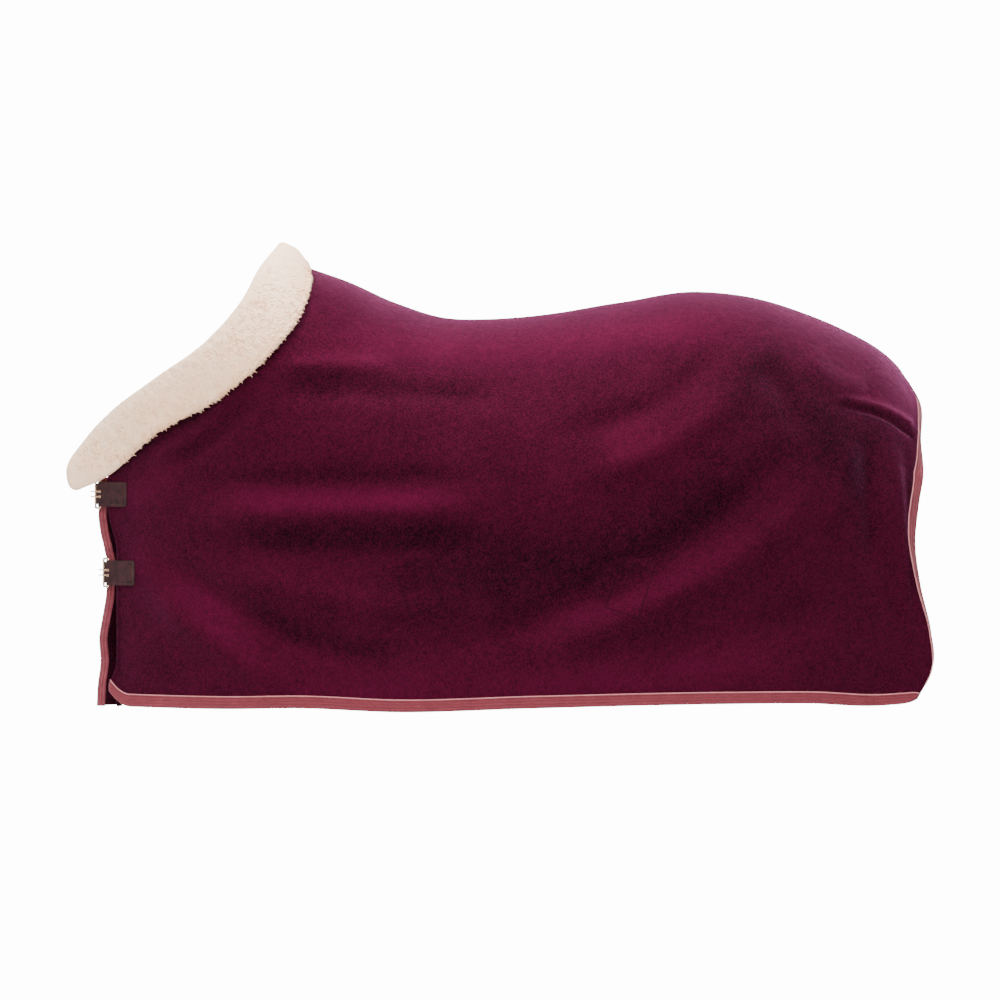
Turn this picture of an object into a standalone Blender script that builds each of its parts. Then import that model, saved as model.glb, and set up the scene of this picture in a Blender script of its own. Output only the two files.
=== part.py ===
"""Horse rug: a bound fleece rug with a fur collar and a two-buckle chest, as separate closed solids.

Units are metres. +Z is up, the horse faces -X and its left (near) side is -Y. The origin is on the
underside of the back seam, at the lowest point of the back, where the saddle would sit.
"""

import math

import bmesh
import bpy
import numpy as np
from mathutils import Matrix, Vector

# Cloth and trim thicknesses
FLEECE = 0.005
WEBBING = 0.0016
TAPE = 0.0015
LEATHER = 0.0024
TRIM_GAP = 0.0009

# Outline of one side: (x, z) points on the outer face of the cloth
SPINE = [(-0.406, 0.1255), (-0.313, 0.0955), (-0.209, 0.0465), (-0.104, 0.0135), (0.0, 0.0078),
         (0.174, 0.0235), (0.313, 0.0465), (0.487, 0.0705), (0.592, 0.0635), (0.731, 0.0285),
         (0.835, -0.0155), (0.940, -0.0805), (0.988, -0.1415)]
CREST = [(-1.05, 0.52), (-0.90, 0.45), (-0.70, 0.345), (-0.55, 0.245), (-0.473, 0.1885)]
NECK_EDGE = [(-0.406, 0.1255), (-0.432, 0.045), (-0.503, -0.061), (-0.620, -0.165),
             (-0.780, -0.262), (-0.880, -0.352)]
COLLAR_EDGE = [(-0.473, 0.1885), (-0.522, 0.129), (-0.566, 0.050), (-0.647, -0.043),
               (-0.766, -0.129), (-0.868, -0.207), (-0.944, -0.293), (-0.966, -0.385)]
HEM = [(-0.858, -0.888), (-0.60, -0.898), (-0.23, -0.902), (0.10, -0.894), (0.55, -0.884),
       (0.80, -0.888), (0.93, -0.886), (1.005, -0.866)]
TAIL_EDGE = [(0.988, -0.1415), (1.013, -0.190), (1.014, -0.280), (1.006, -0.400), (1.000, -0.500),
             (1.010, -0.610), (1.032, -0.715), (1.040, -0.790), (1.005, -0.866)]

# Half-width of the rug over the horse, as (x, half-width), and the shape of its arch
HALF_WIDTH = [(-0.99, 0.014), (-0.92, 0.036), (-0.877, 0.062), (-0.80, 0.118), (-0.70, 0.178),
              (-0.55, 0.245), (-0.35, 0.292), (-0.10, 0.318), (0.20, 0.332), (0.50, 0.328),
              (0.75, 0.302), (0.90, 0.258), (1.05, 0.205)]
ARCH_DEPTH = 0.42
ARCH_POWER = 1.9
HANG_TAPER = 0.03
DOCK_SLOPE = 1.15
ARCH_SHARE = 0.42
ARCH_TURN = 0.45

# Chest opening
CHEST_X = -0.866
CHEST_STEP = 0.019
CHEST_STEP_Z = (-0.53, -0.44)
NEAR_EDGE_X = 0.008
NECK_SHARE = 0.58
NEAR_EDGE_TOP = -0.372
FAR_EDGE_TOP = -0.395

# Fold line of the two front panels
FOLD_X = -0.55
FOLD_GAP = 0.003

# Collar
COLLAR_WIDTH = 0.115
COLLAR_OUT = 0.014
COLLAR_IN = 0.002
COLLAR_GAP = 0.007

# Bindings and piping
HEM_BAND = 0.026
TAIL_BAND = 0.024
PIPING_RADIUS = 0.0015

# Chest buckles
BUCKLE_HEIGHTS = {"upper": -0.400, "lower": -0.583}
PATCH_HALF = 0.029
STRAP_HALF = 0.024
WIRE_RADIUS = 0.0025
FRAME_HALF = 0.0325
FRAME_CORNER = 0.003
HEEL_BAR = (-0.012, -0.052)
FRONT_BAR = (-0.0232, -0.022)
PRONG_RADIUS = 0.0016
PRONG_SPACING = 0.012
PIN_GAP = 0.0005
KNUCKLE_BORE = WIRE_RADIUS + PIN_GAP
KNUCKLE_RADIUS = KNUCKLE_BORE + 0.0016
KNUCKLE_HALF = 0.010
SLOT_PLAY = 0.003

# Inside rings for a belly strap: (x, z, tilt) of each reinforcement patch on one side
GIRTH_PATCHES = {"front": (-0.153, -0.611, 0.32), "rear": (0.336, -0.618, -0.32)}
GIRTH_PATCH_SIZE = (0.078, 0.112)
RING_WIDTH = 0.032
RING_DROP = 0.026
RING_WIRE = 0.0018
LOOP_BORE = RING_WIRE + 0.0016
LOOP_RADIUS = LOOP_BORE + 0.0022
LOOP_HALF = 0.011

# Grid steps
ALONG_STEPS = 28
DOWN_STEPS = 15
SPINE_CROWDING = 0.62
SEAM_GAP = 0.0015

COLOURS = {
    "fleece": ((0.062, 0.006, 0.017, 1.0), 0.95, 0.0),
    "fur": ((0.80, 0.70, 0.60, 1.0), 0.95, 0.0),
    "webbing": ((0.36, 0.055, 0.085, 1.0), 0.80, 0.0),
    "piping": ((0.70, 0.36, 0.40, 1.0), 0.60, 0.0),
    "tape": ((0.20, 0.02, 0.05, 1.0), 0.85, 0.0),
    "leather": ((0.060, 0.030, 0.032, 1.0), 0.50, 0.0),
    "brass": ((0.72, 0.48, 0.26, 1.0), 0.30, 1.0),
}


def clear_scene():
    for obj in list(bpy.data.objects):
        bpy.data.objects.remove(obj, do_unlink=True)


def collection(name):
    group = bpy.data.collections.new(name)
    bpy.context.scene.collection.children.link(group)
    return group


def material(name):
    found = bpy.data.materials.get(name)
    if found:
        return found
    colour, roughness, metallic = COLOURS[name]
    made = bpy.data.materials.new(name)
    made.use_nodes = True
    shader = made.node_tree.nodes["Principled BSDF"]
    shader.inputs["Base Color"].default_value = colour
    shader.inputs["Roughness"].default_value = roughness
    shader.inputs["Metallic"].default_value = metallic
    return made


def smooth_curve(points, share):
    """A smooth curve through points, at a share from 0 to 1 of its chord length."""
    pts = np.array(points, dtype=float)
    steps = np.hypot(*np.diff(pts, axis=0).T)
    at = np.concatenate([[0.0], np.cumsum(steps)]) / steps.sum()
    slopes = np.gradient(pts, at, axis=0)
    share = min(max(share, 0.0), 1.0)
    i = min(int(np.searchsorted(at, share, side="right")) - 1, len(at) - 2)
    span = at[i + 1] - at[i]
    t = (share - at[i]) / span
    ends = (2 * t**3 - 3 * t**2 + 1) * pts[i] + (3 * t**2 - 2 * t**3) * pts[i + 1]
    lean = (t**3 - 2 * t**2 + t) * slopes[i] + (t**3 - t**2) * slopes[i + 1]
    return ends + lean * span


def smooth_height(points, x):
    """The value at x of a smooth graph through (x, value) points."""
    pts = np.array(points, dtype=float)
    slopes = np.gradient(pts[:, 1], pts[:, 0])
    x = min(max(x, pts[0, 0]), pts[-1, 0])
    i = min(int(np.searchsorted(pts[:, 0], x, side="right")) - 1, len(pts) - 2)
    span = pts[i + 1, 0] - pts[i, 0]
    t = (x - pts[i, 0]) / span
    ends = (2 * t**3 - 3 * t**2 + 1) * pts[i, 1] + (3 * t**2 - 2 * t**3) * pts[i + 1, 1]
    return ends + ((t**3 - 2 * t**2 + t) * slopes[i] + (t**3 - t**2) * slopes[i + 1]) * span


def smoothstep(value):
    value = min(max(value, 0.0), 1.0)
    return value * value * (3 - 2 * value)


def chest_line(z):
    """The x of the chest opening at height z: it steps forward under the collar."""
    low, high = CHEST_STEP_Z
    return CHEST_X - CHEST_STEP * smoothstep((z - low) / (high - low))


SPINE_LINE = np.array([smooth_curve(SPINE, n / 2000) for n in range(2001)])


def crest_height(x):
    """Height of the back at x, carried on up the neck and down past the dock."""
    if x > SPINE[-1][0]:
        return SPINE[-1][1] - DOCK_SLOPE * (x - SPINE[-1][0])
    if x >= SPINE[0][0]:
        return float(np.interp(x, SPINE_LINE[:, 0], SPINE_LINE[:, 1]))
    return float(smooth_height(CREST + SPINE[:2], x))


def side_y(x, z):
    """Half-width of the rug's outer face at (x, z), seen from the side."""
    depth = max(crest_height(x) - z, 0.0) / ARCH_DEPTH
    width = smooth_height(HALF_WIDTH, x)
    if depth >= 1.0:
        return width * (1 - HANG_TAPER * (depth - 1.0))
    return width * (1 - (1 - depth) ** ARCH_POWER) ** (1 / ARCH_POWER)


def chest_edge(share):
    """The front edge of a front panel, from the collar down to the hem."""
    top = NECK_EDGE[-1][1]
    z = top + (HEM[0][1] - top) * share
    return np.array([chest_line(z) + NEAR_EDGE_X, z])


def front_outline(share):
    if share < NECK_SHARE:
        return smooth_curve(NECK_EDGE, share / NECK_SHARE)
    corner = smoothstep((share - NECK_SHARE) / 0.06)
    edge = chest_edge((share - NECK_SHARE) / (1 - NECK_SHARE))
    start = np.array(NECK_EDGE[-1])
    return np.array([start[0] + (edge[0] - start[0]) * corner, edge[1]])


def side_outline(u, g):
    """A point of the flat side view: u runs from front to tail, g from the spine to the hem."""
    top = smooth_curve(SPINE, u)
    bottom = smooth_curve(HEM, u)
    front = front_outline(g)
    tail = smooth_curve(TAIL_EDGE, g)
    corners = ((1 - u) * (1 - g) * np.array(SPINE[0]) + u * (1 - g) * np.array(SPINE[-1])
               + (1 - u) * g * np.array(HEM[0]) + u * g * np.array(HEM[-1]))
    return (1 - g) * top + g * bottom + (1 - u) * front + u * tail - corners


def drop(v):
    """Share of the drop at v of the way round the arch: slow over the spine, then even."""
    if abs(v) < ARCH_TURN:
        return ARCH_SHARE * (1 - math.cos(abs(v) / ARCH_TURN * math.pi / 2))
    return ARCH_SHARE + (1 - ARCH_SHARE) * (abs(v) - ARCH_TURN) / (1 - ARCH_TURN)


def rug_face(u, v):
    """A point on the rug's outer face: v from 0 on the spine to 1 at the hem, negative on the far side."""
    x, z = side_outline(u, drop(v))
    y = side_y(x, z) if v else 0.0
    return Vector((x, -y if v >= 0 else y, z))


def side_face(x, fall):
    """A point on the near side's outer face, at x and a fall below the origin's height."""
    return Vector((x, -side_y(x, -fall), -fall))


def lifted(face, a, b, lift):
    """The point face(a, b) moved out along the face's own normal."""
    step = 0.004
    along = face(a + step, b) - face(a - step, b)
    down = face(a, b + step) - face(a, b - step)
    normal = down.cross(along)
    if normal.length < 1e-12:
        return face(a, b)
    return face(a, b) + normal.normalized() * lift


def grid_mesh(place, columns, rows):
    """An open grid whose vertices are placed by place(i, j), made from Blender's own grid."""
    bm = bmesh.new()
    bmesh.ops.create_grid(bm, x_segments=columns, y_segments=rows, size=1.0)
    for vert in bm.verts:
        vert.co = place((vert.co.x + 1) / 2, (1 - vert.co.y) / 2)
    return bm


def face_outward(bm, side):
    """Mirror a near-side mesh to the far side when side is +1, and keep its faces outward."""
    if side > 0:
        for vert in bm.verts:
            vert.co.y = -vert.co.y
        bmesh.ops.reverse_faces(bm, faces=bm.faces)


def cut_at_fold(bm, keep_front):
    """Keep the part of an open sheet ahead of the fold line, or the part behind it."""
    at = FOLD_X - FOLD_GAP / 2 if keep_front else FOLD_X + FOLD_GAP / 2
    bmesh.ops.bisect_plane(bm, geom=bm.verts[:] + bm.edges[:] + bm.faces[:], dist=1e-6,
                           plane_co=(at, 0, 0), plane_no=(1, 0, 0),
                           clear_outer=keep_front, clear_inner=not keep_front)


def add_object(name, mesh, look, group):
    obj = bpy.data.objects.new(name, mesh)
    mesh.materials.clear()
    mesh.materials.append(material(look))
    group.objects.link(obj)
    return obj


def sheet_object(name, bm, thickness, look, group, inside=True):
    """A thin sheet: the grid is its outer face, or its inner face when inside is False."""
    mesh = bpy.data.meshes.new(name)
    bm.to_mesh(mesh)
    bm.free()
    mesh.shade_smooth()
    obj = add_object(name, mesh, look, group)
    solidify = obj.modifiers.new("thickness", "SOLIDIFY")
    solidify.thickness = thickness
    solidify.offset = -1.0 if inside else 1.0
    solidify.use_even_offset = False
    return obj


def tube_object(name, points, radius, look, group, cyclic=False, sides=2):
    """A round wire or piping through points, with closed ends."""
    curve = bpy.data.curves.new(name, "CURVE")
    curve.dimensions = "3D"
    curve.bevel_depth = radius
    curve.bevel_resolution = sides
    curve.use_fill_caps = not cyclic
    spline = curve.splines.new("POLY")
    spline.points.add(len(points) - 1)
    for spot, point in zip(spline.points, points):
        spot.co = (*point, 1.0)
    spline.use_cyclic_u = cyclic
    obj = bpy.data.objects.new(name, curve)
    curve.materials.append(material(look))
    group.objects.link(obj)
    return obj


def as_mesh(obj, group, merge=1e-5):
    """Turn a curve object into a mesh object with its caps welded on."""
    bpy.context.view_layer.update()
    shape = obj.evaluated_get(bpy.context.evaluated_depsgraph_get())
    mesh = bpy.data.meshes.new_from_object(shape)
    bm = bmesh.new()
    bm.from_mesh(mesh)
    bmesh.ops.remove_doubles(bm, verts=bm.verts, dist=merge)
    bm.to_mesh(mesh)
    bm.free()
    made = bpy.data.objects.new(obj.name + "_mesh", mesh)
    made.matrix_world = obj.matrix_world
    group.objects.link(made)
    name = obj.name
    bpy.data.objects.remove(obj, do_unlink=True)
    made.name = name
    return made


def boolean(obj, other, operation):
    change = obj.modifiers.new(operation.lower(), "BOOLEAN")
    change.operation = operation
    change.object = other


def hide_cutter(obj):
    obj.hide_render = True
    obj.display_type = "WIRE"
    return obj


def side_name(side):
    return "far" if side > 0 else "near"


# Grid lines shared by the cloth and its bindings, so that their facets stay parallel


def hem_share():
    """The share of v that the hem binding covers."""
    fall = (SPINE[4][1] - HEM[3][1]) * (1 - ARCH_SHARE) / (1 - ARCH_TURN)
    return HEM_BAND / fall


def tail_share():
    """The share of u that the tail binding covers."""
    return TAIL_BAND / (HEM[-1][0] - HEM[0][0])


def along_line(i):
    """The u of grid line i, from 0 to 1: even, with the last column as wide as the tail binding."""
    last = 1 - 1 / ALONG_STEPS
    if i <= last:
        return i / last * (1 - tail_share())
    return 1 - tail_share() * (1 - i) / (1 - last)


def down_line(j):
    """The v of grid line j: close together at the spine, with the last row as tall as the hem binding."""
    last = 1 - 1 / DOWN_STEPS
    if j > last:
        return 1 - hem_share() * (1 - j) / (1 - last)
    share = j / last
    return (1 - hem_share()) * share * (1 - SPINE_CROWDING + SPINE_CROWDING * share)


# Cloth panels


def side_panel(side, front, group):
    def place(i, j):
        point = rug_face(along_line(i), down_line(j))
        point.y = min(point.y, -SEAM_GAP)
        return point

    bm = grid_mesh(place, ALONG_STEPS, DOWN_STEPS)
    face_outward(bm, side)
    cut_at_fold(bm, front)
    name = side_name(side) + ("_front_panel" if front else "_flank_panel")
    return sheet_object(name, bm, FLEECE, "fleece", group)


def hem_binding(side, front, group):
    top = 1 - hem_share()
    last = ALONG_STEPS - 1

    def place(i, j):
        u = along_line(i * last / ALONG_STEPS) - (0.0015 if i > 1 - 0.5 / last else 0.0)
        return lifted(rug_face, u, top + (1 - top) * j, TRIM_GAP)

    bm = grid_mesh(place, last, 1)
    face_outward(bm, side)
    cut_at_fold(bm, front)
    name = side_name(side) + "_hem_binding_" + ("front" if front else "rear")
    return sheet_object(name, bm, WEBBING, "webbing", group, inside=False)


def fold_share(v):
    """The u at which the line v crosses the fold."""
    low, high = 0.0, 0.5
    for _ in range(40):
        middle = (low + high) / 2
        if rug_face(middle, v).x < FOLD_X:
            low = middle
        else:
            high = middle
    return low


def hem_piping(side, front, group):
    v = 1 - hem_share() - 0.004
    fold = fold_share(v)
    gap = FOLD_GAP / 3
    start, end = (0.0, fold - gap) if front else (fold + gap, 1 - tail_share() - 0.004)
    lines = [along_line(n / ALONG_STEPS) for n in range(ALONG_STEPS + 1)]
    inner = [u for u in lines if start + 0.006 < u < end - 0.006]
    lift = PIPING_RADIUS + TRIM_GAP
    points = []
    for u in [start] + inner + [end]:
        point = lifted(rug_face, u, v, lift)
        points.append((point.x, point.y * -side, point.z))
    name = side_name(side) + "_hem_piping_" + ("front" if front else "rear")
    return tube_object(name, points, PIPING_RADIUS, "piping", group, sides=1)


def both_sides(u, across, lift):
    """A lifted point on a line round the whole rug: across runs from -1, far hem, to 1, near hem."""
    point = lifted(rug_face, u, down_line(abs(across)), lift)
    if across < 0:
        point.y = -point.y
    return point


def tail_binding(group):
    start = 1 - tail_share()

    def place(i, j):
        return both_sides(start + (1 - start) * i, 2 * j - 1, TRIM_GAP)

    bm = grid_mesh(place, 1, 2 * DOWN_STEPS)
    return sheet_object("tail_binding", bm, WEBBING, "webbing", group, inside=False)


def tail_piping(group):
    u = 1 - tail_share() - 0.0032
    lift = PIPING_RADIUS + TRIM_GAP
    last = DOWN_STEPS - 2
    points = []
    for n in range(-last, last + 1):
        points.append(both_sides(u, n / DOWN_STEPS, lift))
    return tube_object("tail_piping", points, PIPING_RADIUS, "piping", group, sides=1)


def back_seam_tape(group):
    def place(i, j):
        u = along_line(i * (ALONG_STEPS - 1) / ALONG_STEPS)
        return both_sides(u, (2 * j - 1) / DOWN_STEPS, -FLEECE - TRIM_GAP)

    bm = grid_mesh(place, ALONG_STEPS - 1, 2)
    return sheet_object("back_seam_tape", bm, TAPE, "tape", group)


# Collar


def collar_face(t, w):
    """The collar's face: t runs from the crest to the chest, w from the neck edge outwards."""
    along = t * t / (abs(t) + 0.25) * 1.25
    inner = smooth_curve(NECK_EDGE, along)
    outer = smooth_curve(COLLAR_EDGE, along)
    x, z = inner + (outer - inner) * w
    width = side_y(x, z) if t else 0.0
    return Vector((x, -width if t > 0 else width, z))


def collar_front(side, group):
    """The part of the collar that is sewn to a front panel."""
    start = COLLAR_GAP / COLLAR_WIDTH

    def place(i, j):
        return lifted(collar_face, 0.3 + 0.7 * j, start + (1 - start) * i, COLLAR_OUT)

    bm = grid_mesh(place, 4, 14)
    bmesh.ops.reverse_faces(bm, faces=bm.faces)
    face_outward(bm, side)
    cut_at_fold(bm, True)
    return sheet_object(side_name(side) + "_collar_front", bm, COLLAR_OUT + COLLAR_IN, "fur", group)


def collar_crest(group):
    """The part of the collar over the crest of the neck, from fold to fold."""
    start = COLLAR_GAP / COLLAR_WIDTH

    def place(i, j):
        return lifted(collar_face, 0.75 * (2 * j - 1), start + (1 - start) * i, COLLAR_OUT)

    bm = grid_mesh(place, 4, 24)
    bmesh.ops.reverse_faces(bm, faces=bm.faces)
    cut_at_fold(bm, False)
    return sheet_object("collar_crest", bm, COLLAR_OUT + COLLAR_IN, "fur", group)


# Chest opening

NEAR_TURN = [(0.0082, -0.0735), (0.0070, -0.0620), (0.0120, -0.0460), (0.0150, -0.0200)]
FAR_TURN = [(0.0080, 0.0735), (-0.0060, 0.0610), (-0.0140, 0.0400), (-0.0160, 0.0100),
            (-0.0150, -0.0180), (-0.0100, -0.0340), (0.0040, -0.0430)]


def chest_heights(top):
    """Heights of the cloth's own grid lines along the chest opening, below top."""
    heights = [top]
    for row in range(DOWN_STEPS + 1):
        z = front_outline(drop(down_line(row / DOWN_STEPS)))[1]
        if z < top - 0.012:
            heights.append(z)
    return heights


def turned_edge(path, start, end, heights, lift, facing):
    """Placement of a strip that follows a plan path round the chest, at each of the heights."""
    def spot(share, z):
        dx, y = smooth_curve(path, share)
        width = side_y(chest_line(z) + NEAR_EDGE_X, z) / abs(path[0][1])
        return Vector((chest_line(z) + dx, y * width, z))

    def place(i, j):
        share = start + (end - start) * i
        z = heights[round(j * (len(heights) - 1))]
        before = spot(max(share - 0.01, 0.0), z)
        after = spot(min(share + 0.01, 1.0), z)
        along = (after - before).normalized()
        out = Vector((along.y, -along.x, 0.0)) * facing
        return spot(share, z) + out * lift

    return place


def near_facing(group):
    heights = chest_heights(NEAR_EDGE_TOP)
    place = turned_edge(NEAR_TURN, 0.17, 0.60, heights, 0.0, -1)
    bm = grid_mesh(place, 3, len(heights) - 1)
    bmesh.ops.reverse_faces(bm, faces=bm.faces)
    return sheet_object("near_front_facing", bm, FLEECE, "fleece", group)


def near_edge_binding(group):
    heights = chest_heights(NEAR_EDGE_TOP)
    place = turned_edge(NEAR_TURN, 0.63, 1.0, heights, 0.0, -1)
    bm = grid_mesh(place, 2, len(heights) - 1)
    bmesh.ops.reverse_faces(bm, faces=bm.faces)
    return sheet_object("near_front_binding", bm, FLEECE, "webbing", group)


def far_facing(group):
    heights = chest_heights(FAR_EDGE_TOP)
    place = turned_edge(FAR_TURN, 0.035, 0.80, heights, 0.0, 1)
    bm = grid_mesh(place, 6, len(heights) - 1)
    return sheet_object("far_front_facing", bm, FLEECE, "fleece", group)


def far_edge_binding(group):
    heights = chest_heights(FAR_EDGE_TOP)
    place = turned_edge(FAR_TURN, 0.815, 1.0, heights, 0.0, 1)
    bm = grid_mesh(place, 2, len(heights) - 1)
    return sheet_object("far_front_binding", bm, 0.003, "webbing", group)


# Buckles


def plan_solid(name, outlines, half_height, centre, look, group):
    """Extrude closed plan outlines, given about centre, up and down by half_height."""
    curve = bpy.data.curves.new(name, "CURVE")
    curve.dimensions = "2D"
    curve.fill_mode = "BOTH"
    curve.extrude = half_height
    curve.materials.append(material(look))
    for outline in outlines:
        spline = curve.splines.new("POLY")
        spline.points.add(len(outline) - 1)
        for spot, (x, y) in zip(spline.points, outline):
            spot.co = (x, y, 0.0, 1.0)
        spline.use_cyclic_u = True
    obj = bpy.data.objects.new(name, curve)
    obj.location = centre
    group.objects.link(obj)
    return obj


def circle(centre, radius, start=0.0, turn=2 * math.pi, count=16, closed=True):
    """Points on an arc about centre; a closed circle leaves out its last point."""
    steps = count if closed else count - 1
    points = []
    for n in range(count):
        angle = start + turn * n / steps
        points.append((centre[0] + radius * math.cos(angle), centre[1] + radius * math.sin(angle)))
    return points


def bar_places(z):
    """Plan places of the heel bar and the front bar, which follow the width of the chest at height z."""
    width = side_y(chest_line(z) + NEAR_EDGE_X, z) / abs(NEAR_TURN[0][1])
    heel = np.array([HEEL_BAR[0], HEEL_BAR[1] * width])
    front = np.array([FRONT_BAR[0], FRONT_BAR[1] * width])
    return heel, front


def patch_path(z):
    """The outer line of the near leather patch in plan, from its rear edge to the buckle's bar."""
    x0 = chest_line(z)
    path = []
    for back in (0.050, 0.036, 0.022, 0.009):
        x = x0 + back
        point = lifted(side_face, x, -z, TRIM_GAP + LEATHER)
        path.append((point.x - x0, -abs(point.y)))
    return path


def near_patch(place, z, group, cutters):
    """The leather patch, whose front end is a closed loop round the buckle's bar."""
    outer = patch_path(z)
    inner = []
    for x, y in outer:
        inner.append((x, y + LEATHER))
    heel, _ = bar_places(z)
    bore = WIRE_RADIUS + PIN_GAP
    lead = math.atan2(outer[-1][1] - heel[1], outer[-1][0] - heel[0])
    ring = circle(heel, bore + LEATHER, lead - 0.45, -(2 * math.pi - 0.9), 14, closed=False)
    outline = outer + ring + inner[::-1]
    hole = circle(heel, bore, count=14)
    centre = Vector((chest_line(z), 0.0, z))
    name = "near_patch_" + place
    solid = plan_solid(name, [outline, hole], PATCH_HALF, centre, "leather", group)
    body = as_mesh(solid, group)
    middle = (centre.x + heel[0] - 0.0015, heel[1] - 0.0005, z)
    bpy.ops.mesh.primitive_cube_add(size=1.0, location=middle)
    slot = bpy.context.object
    slot.name = "cut_" + place
    slot.scale = (2 * KNUCKLE_RADIUS + 0.007, 2 * KNUCKLE_RADIUS + 0.004, 2 * KNUCKLE_HALF + SLOT_PLAY)
    for owner in list(slot.users_collection):
        owner.objects.unlink(slot)
    cutters.objects.link(hide_cutter(slot))
    boolean(body, slot, "DIFFERENCE")
    return body


def bar_frame(z):
    """Unit direction from the heel bar to the front bar, the outward normal, and their distance."""
    heel, front = bar_places(z)
    along = front - heel
    span = float(np.hypot(*along))
    along = along / span
    return along, np.array([-along[1], along[0]]), span


def buckle_frame(place, z, group, parent):
    """A closed wire rectangle with rounded corners, hinged on its heel bar."""
    along, _, span = bar_frame(z)
    corner = FRAME_CORNER
    points = []
    for cx, cz, start in ((span - corner, FRAME_HALF - corner, 0), (corner, FRAME_HALF - corner, 1),
                          (corner, corner - FRAME_HALF, 2), (span - corner, corner - FRAME_HALF, 3)):
        for s, h in circle((cx, cz), corner, start * math.pi / 2, math.pi / 2, 5, closed=False):
            points.append((along[0] * s, along[1] * s, h))
    obj = tube_object("buckle_frame_" + place, points, WIRE_RADIUS, "brass", group, cyclic=True)
    obj.parent = parent
    return obj


def buckle_prongs(place, z, group, cutters, parent):
    """Two prongs on one knuckle that turns on the heel bar."""
    along, out, span = bar_frame(z)
    offset = WIRE_RADIUS + PRONG_RADIUS + PIN_GAP
    bpy.ops.mesh.primitive_cylinder_add(vertices=20, radius=KNUCKLE_RADIUS, depth=2 * KNUCKLE_HALF)
    knuckle = bpy.context.object
    for owner in list(knuckle.users_collection):
        owner.objects.unlink(knuckle)
    knuckle.data.materials.append(material("brass"))
    group.objects.link(knuckle)
    knuckle.name = "buckle_prongs_" + place
    knuckle.parent = parent
    for number, height in enumerate((-PRONG_SPACING / 2, PRONG_SPACING / 2)):
        run = [(0.0, 0.0), (span * 0.5, 0.0), (span + 0.0015, 0.0),
               (span + 0.0045, 0.0025), (span + 0.0055, 0.0060)]
        points = []
        for s, rise in run:
            spot = along * s + out * (offset + rise)
            points.append((spot[0], spot[1], height))
        wire = tube_object("cut_prong_" + place + str(number), points, PRONG_RADIUS, "brass", cutters)
        wire = hide_cutter(as_mesh(wire, cutters))
        wire.parent = parent
        boolean(knuckle, wire, "UNION")
    bpy.ops.mesh.primitive_cylinder_add(vertices=20, radius=KNUCKLE_BORE, depth=4 * KNUCKLE_HALF)
    bore = bpy.context.object
    bore.name = "cut_bore_" + place
    for owner in list(bore.users_collection):
        owner.objects.unlink(bore)
    cutters.objects.link(hide_cutter(bore))
    bore.parent = parent
    boolean(knuckle, bore, "DIFFERENCE")
    return knuckle


def far_strap(place, z, group):
    """The strap that comes round from the far side and ends behind the buckle."""
    lift = WEBBING + 2 * TRIM_GAP
    place_strip = turned_edge(FAR_TURN, 0.02, 0.915, [z + STRAP_HALF, z - STRAP_HALF], lift, 1)
    bm = grid_mesh(place_strip, 8, 1)
    return sheet_object("far_strap_" + place, bm, LEATHER, "leather", group, inside=False)


def far_patch(place, z, group):
    x0 = chest_line(z)

    def spot(i, j):
        point = lifted(side_face, x0 + 0.011 + 0.045 * i, PATCH_HALF * (2 * j - 1) - z, TRIM_GAP)
        return Vector((point.x, -abs(point.y), point.z))

    bm = grid_mesh(spot, 3, 1)
    face_outward(bm, 1)
    return sheet_object("far_patch_" + place, bm, LEATHER, "leather", group, inside=False)


# Rump dart and belly-strap fittings


def rump_dart(side, group):
    path = [(0.815, -0.196), (0.880, -0.201), (0.925, -0.214), (0.955, -0.236)]

    def place(i, j):
        x, z = smooth_curve(path, i)
        half = 0.009 * math.sin(math.pi * min(max(i, 0.06), 0.94)) ** 0.5
        return lifted(side_face, x, half * (2 * j - 1) - z, 2 * TRIM_GAP)

    bm = grid_mesh(place, 10, 2)
    face_outward(bm, side)
    return sheet_object(side_name(side) + "_rump_dart", bm, 0.004, "fleece", group, inside=False)


def girth_patch(side, place, group):
    x, z, tilt = GIRTH_PATCHES[place]
    width, height = GIRTH_PATCH_SIZE

    def spot(i, j):
        a = width * (i - 0.5)
        b = height * (0.5 - j)
        px = x + a * math.cos(tilt) - b * math.sin(tilt)
        pz = z + a * math.sin(tilt) + b * math.cos(tilt)
        return lifted(side_face, px, -pz, -FLEECE - TRIM_GAP)

    bm = grid_mesh(spot, 3, 4)
    face_outward(bm, side)
    return sheet_object(side_name(side) + "_girth_patch_" + place, bm, TAPE, "tape", group)


def ring_axis(side, place):
    """Middle of a ring's straight bar, inside the rug."""
    x, z, _ = GIRTH_PATCHES[place]
    inset = FLEECE + TAPE + 2 * TRIM_GAP + LOOP_RADIUS + 0.003
    return Vector((x, (side_y(x, z) - inset) * side, z + 0.02))


def girth_loop(side, place, group):
    """A short webbing sleeve round the ring's bar, with its bore along X."""
    centre = ring_axis(side, place)
    rim = circle((0.0, 0.0), LOOP_RADIUS, math.pi * 0.25, -math.pi * 1.25, 14, closed=False)
    tab = [(-LOOP_RADIUS, 0.018), (-LOOP_RADIUS - 0.0025, 0.018), (-LOOP_RADIUS - 0.0025, 0.024),
           (-LOOP_RADIUS + 0.003, 0.024)]
    outline = rim + tab
    name = side_name(side) + "_girth_loop_" + place
    bore = circle((0.0, 0.0), LOOP_BORE, count=12)
    body = plan_solid(name, [outline, bore], LOOP_HALF, centre, "tape", group)
    body.rotation_euler = Matrix(((0, 0, 1), (-side, 0, 0), (0, 1, 0))).to_euler()
    return body


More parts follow.
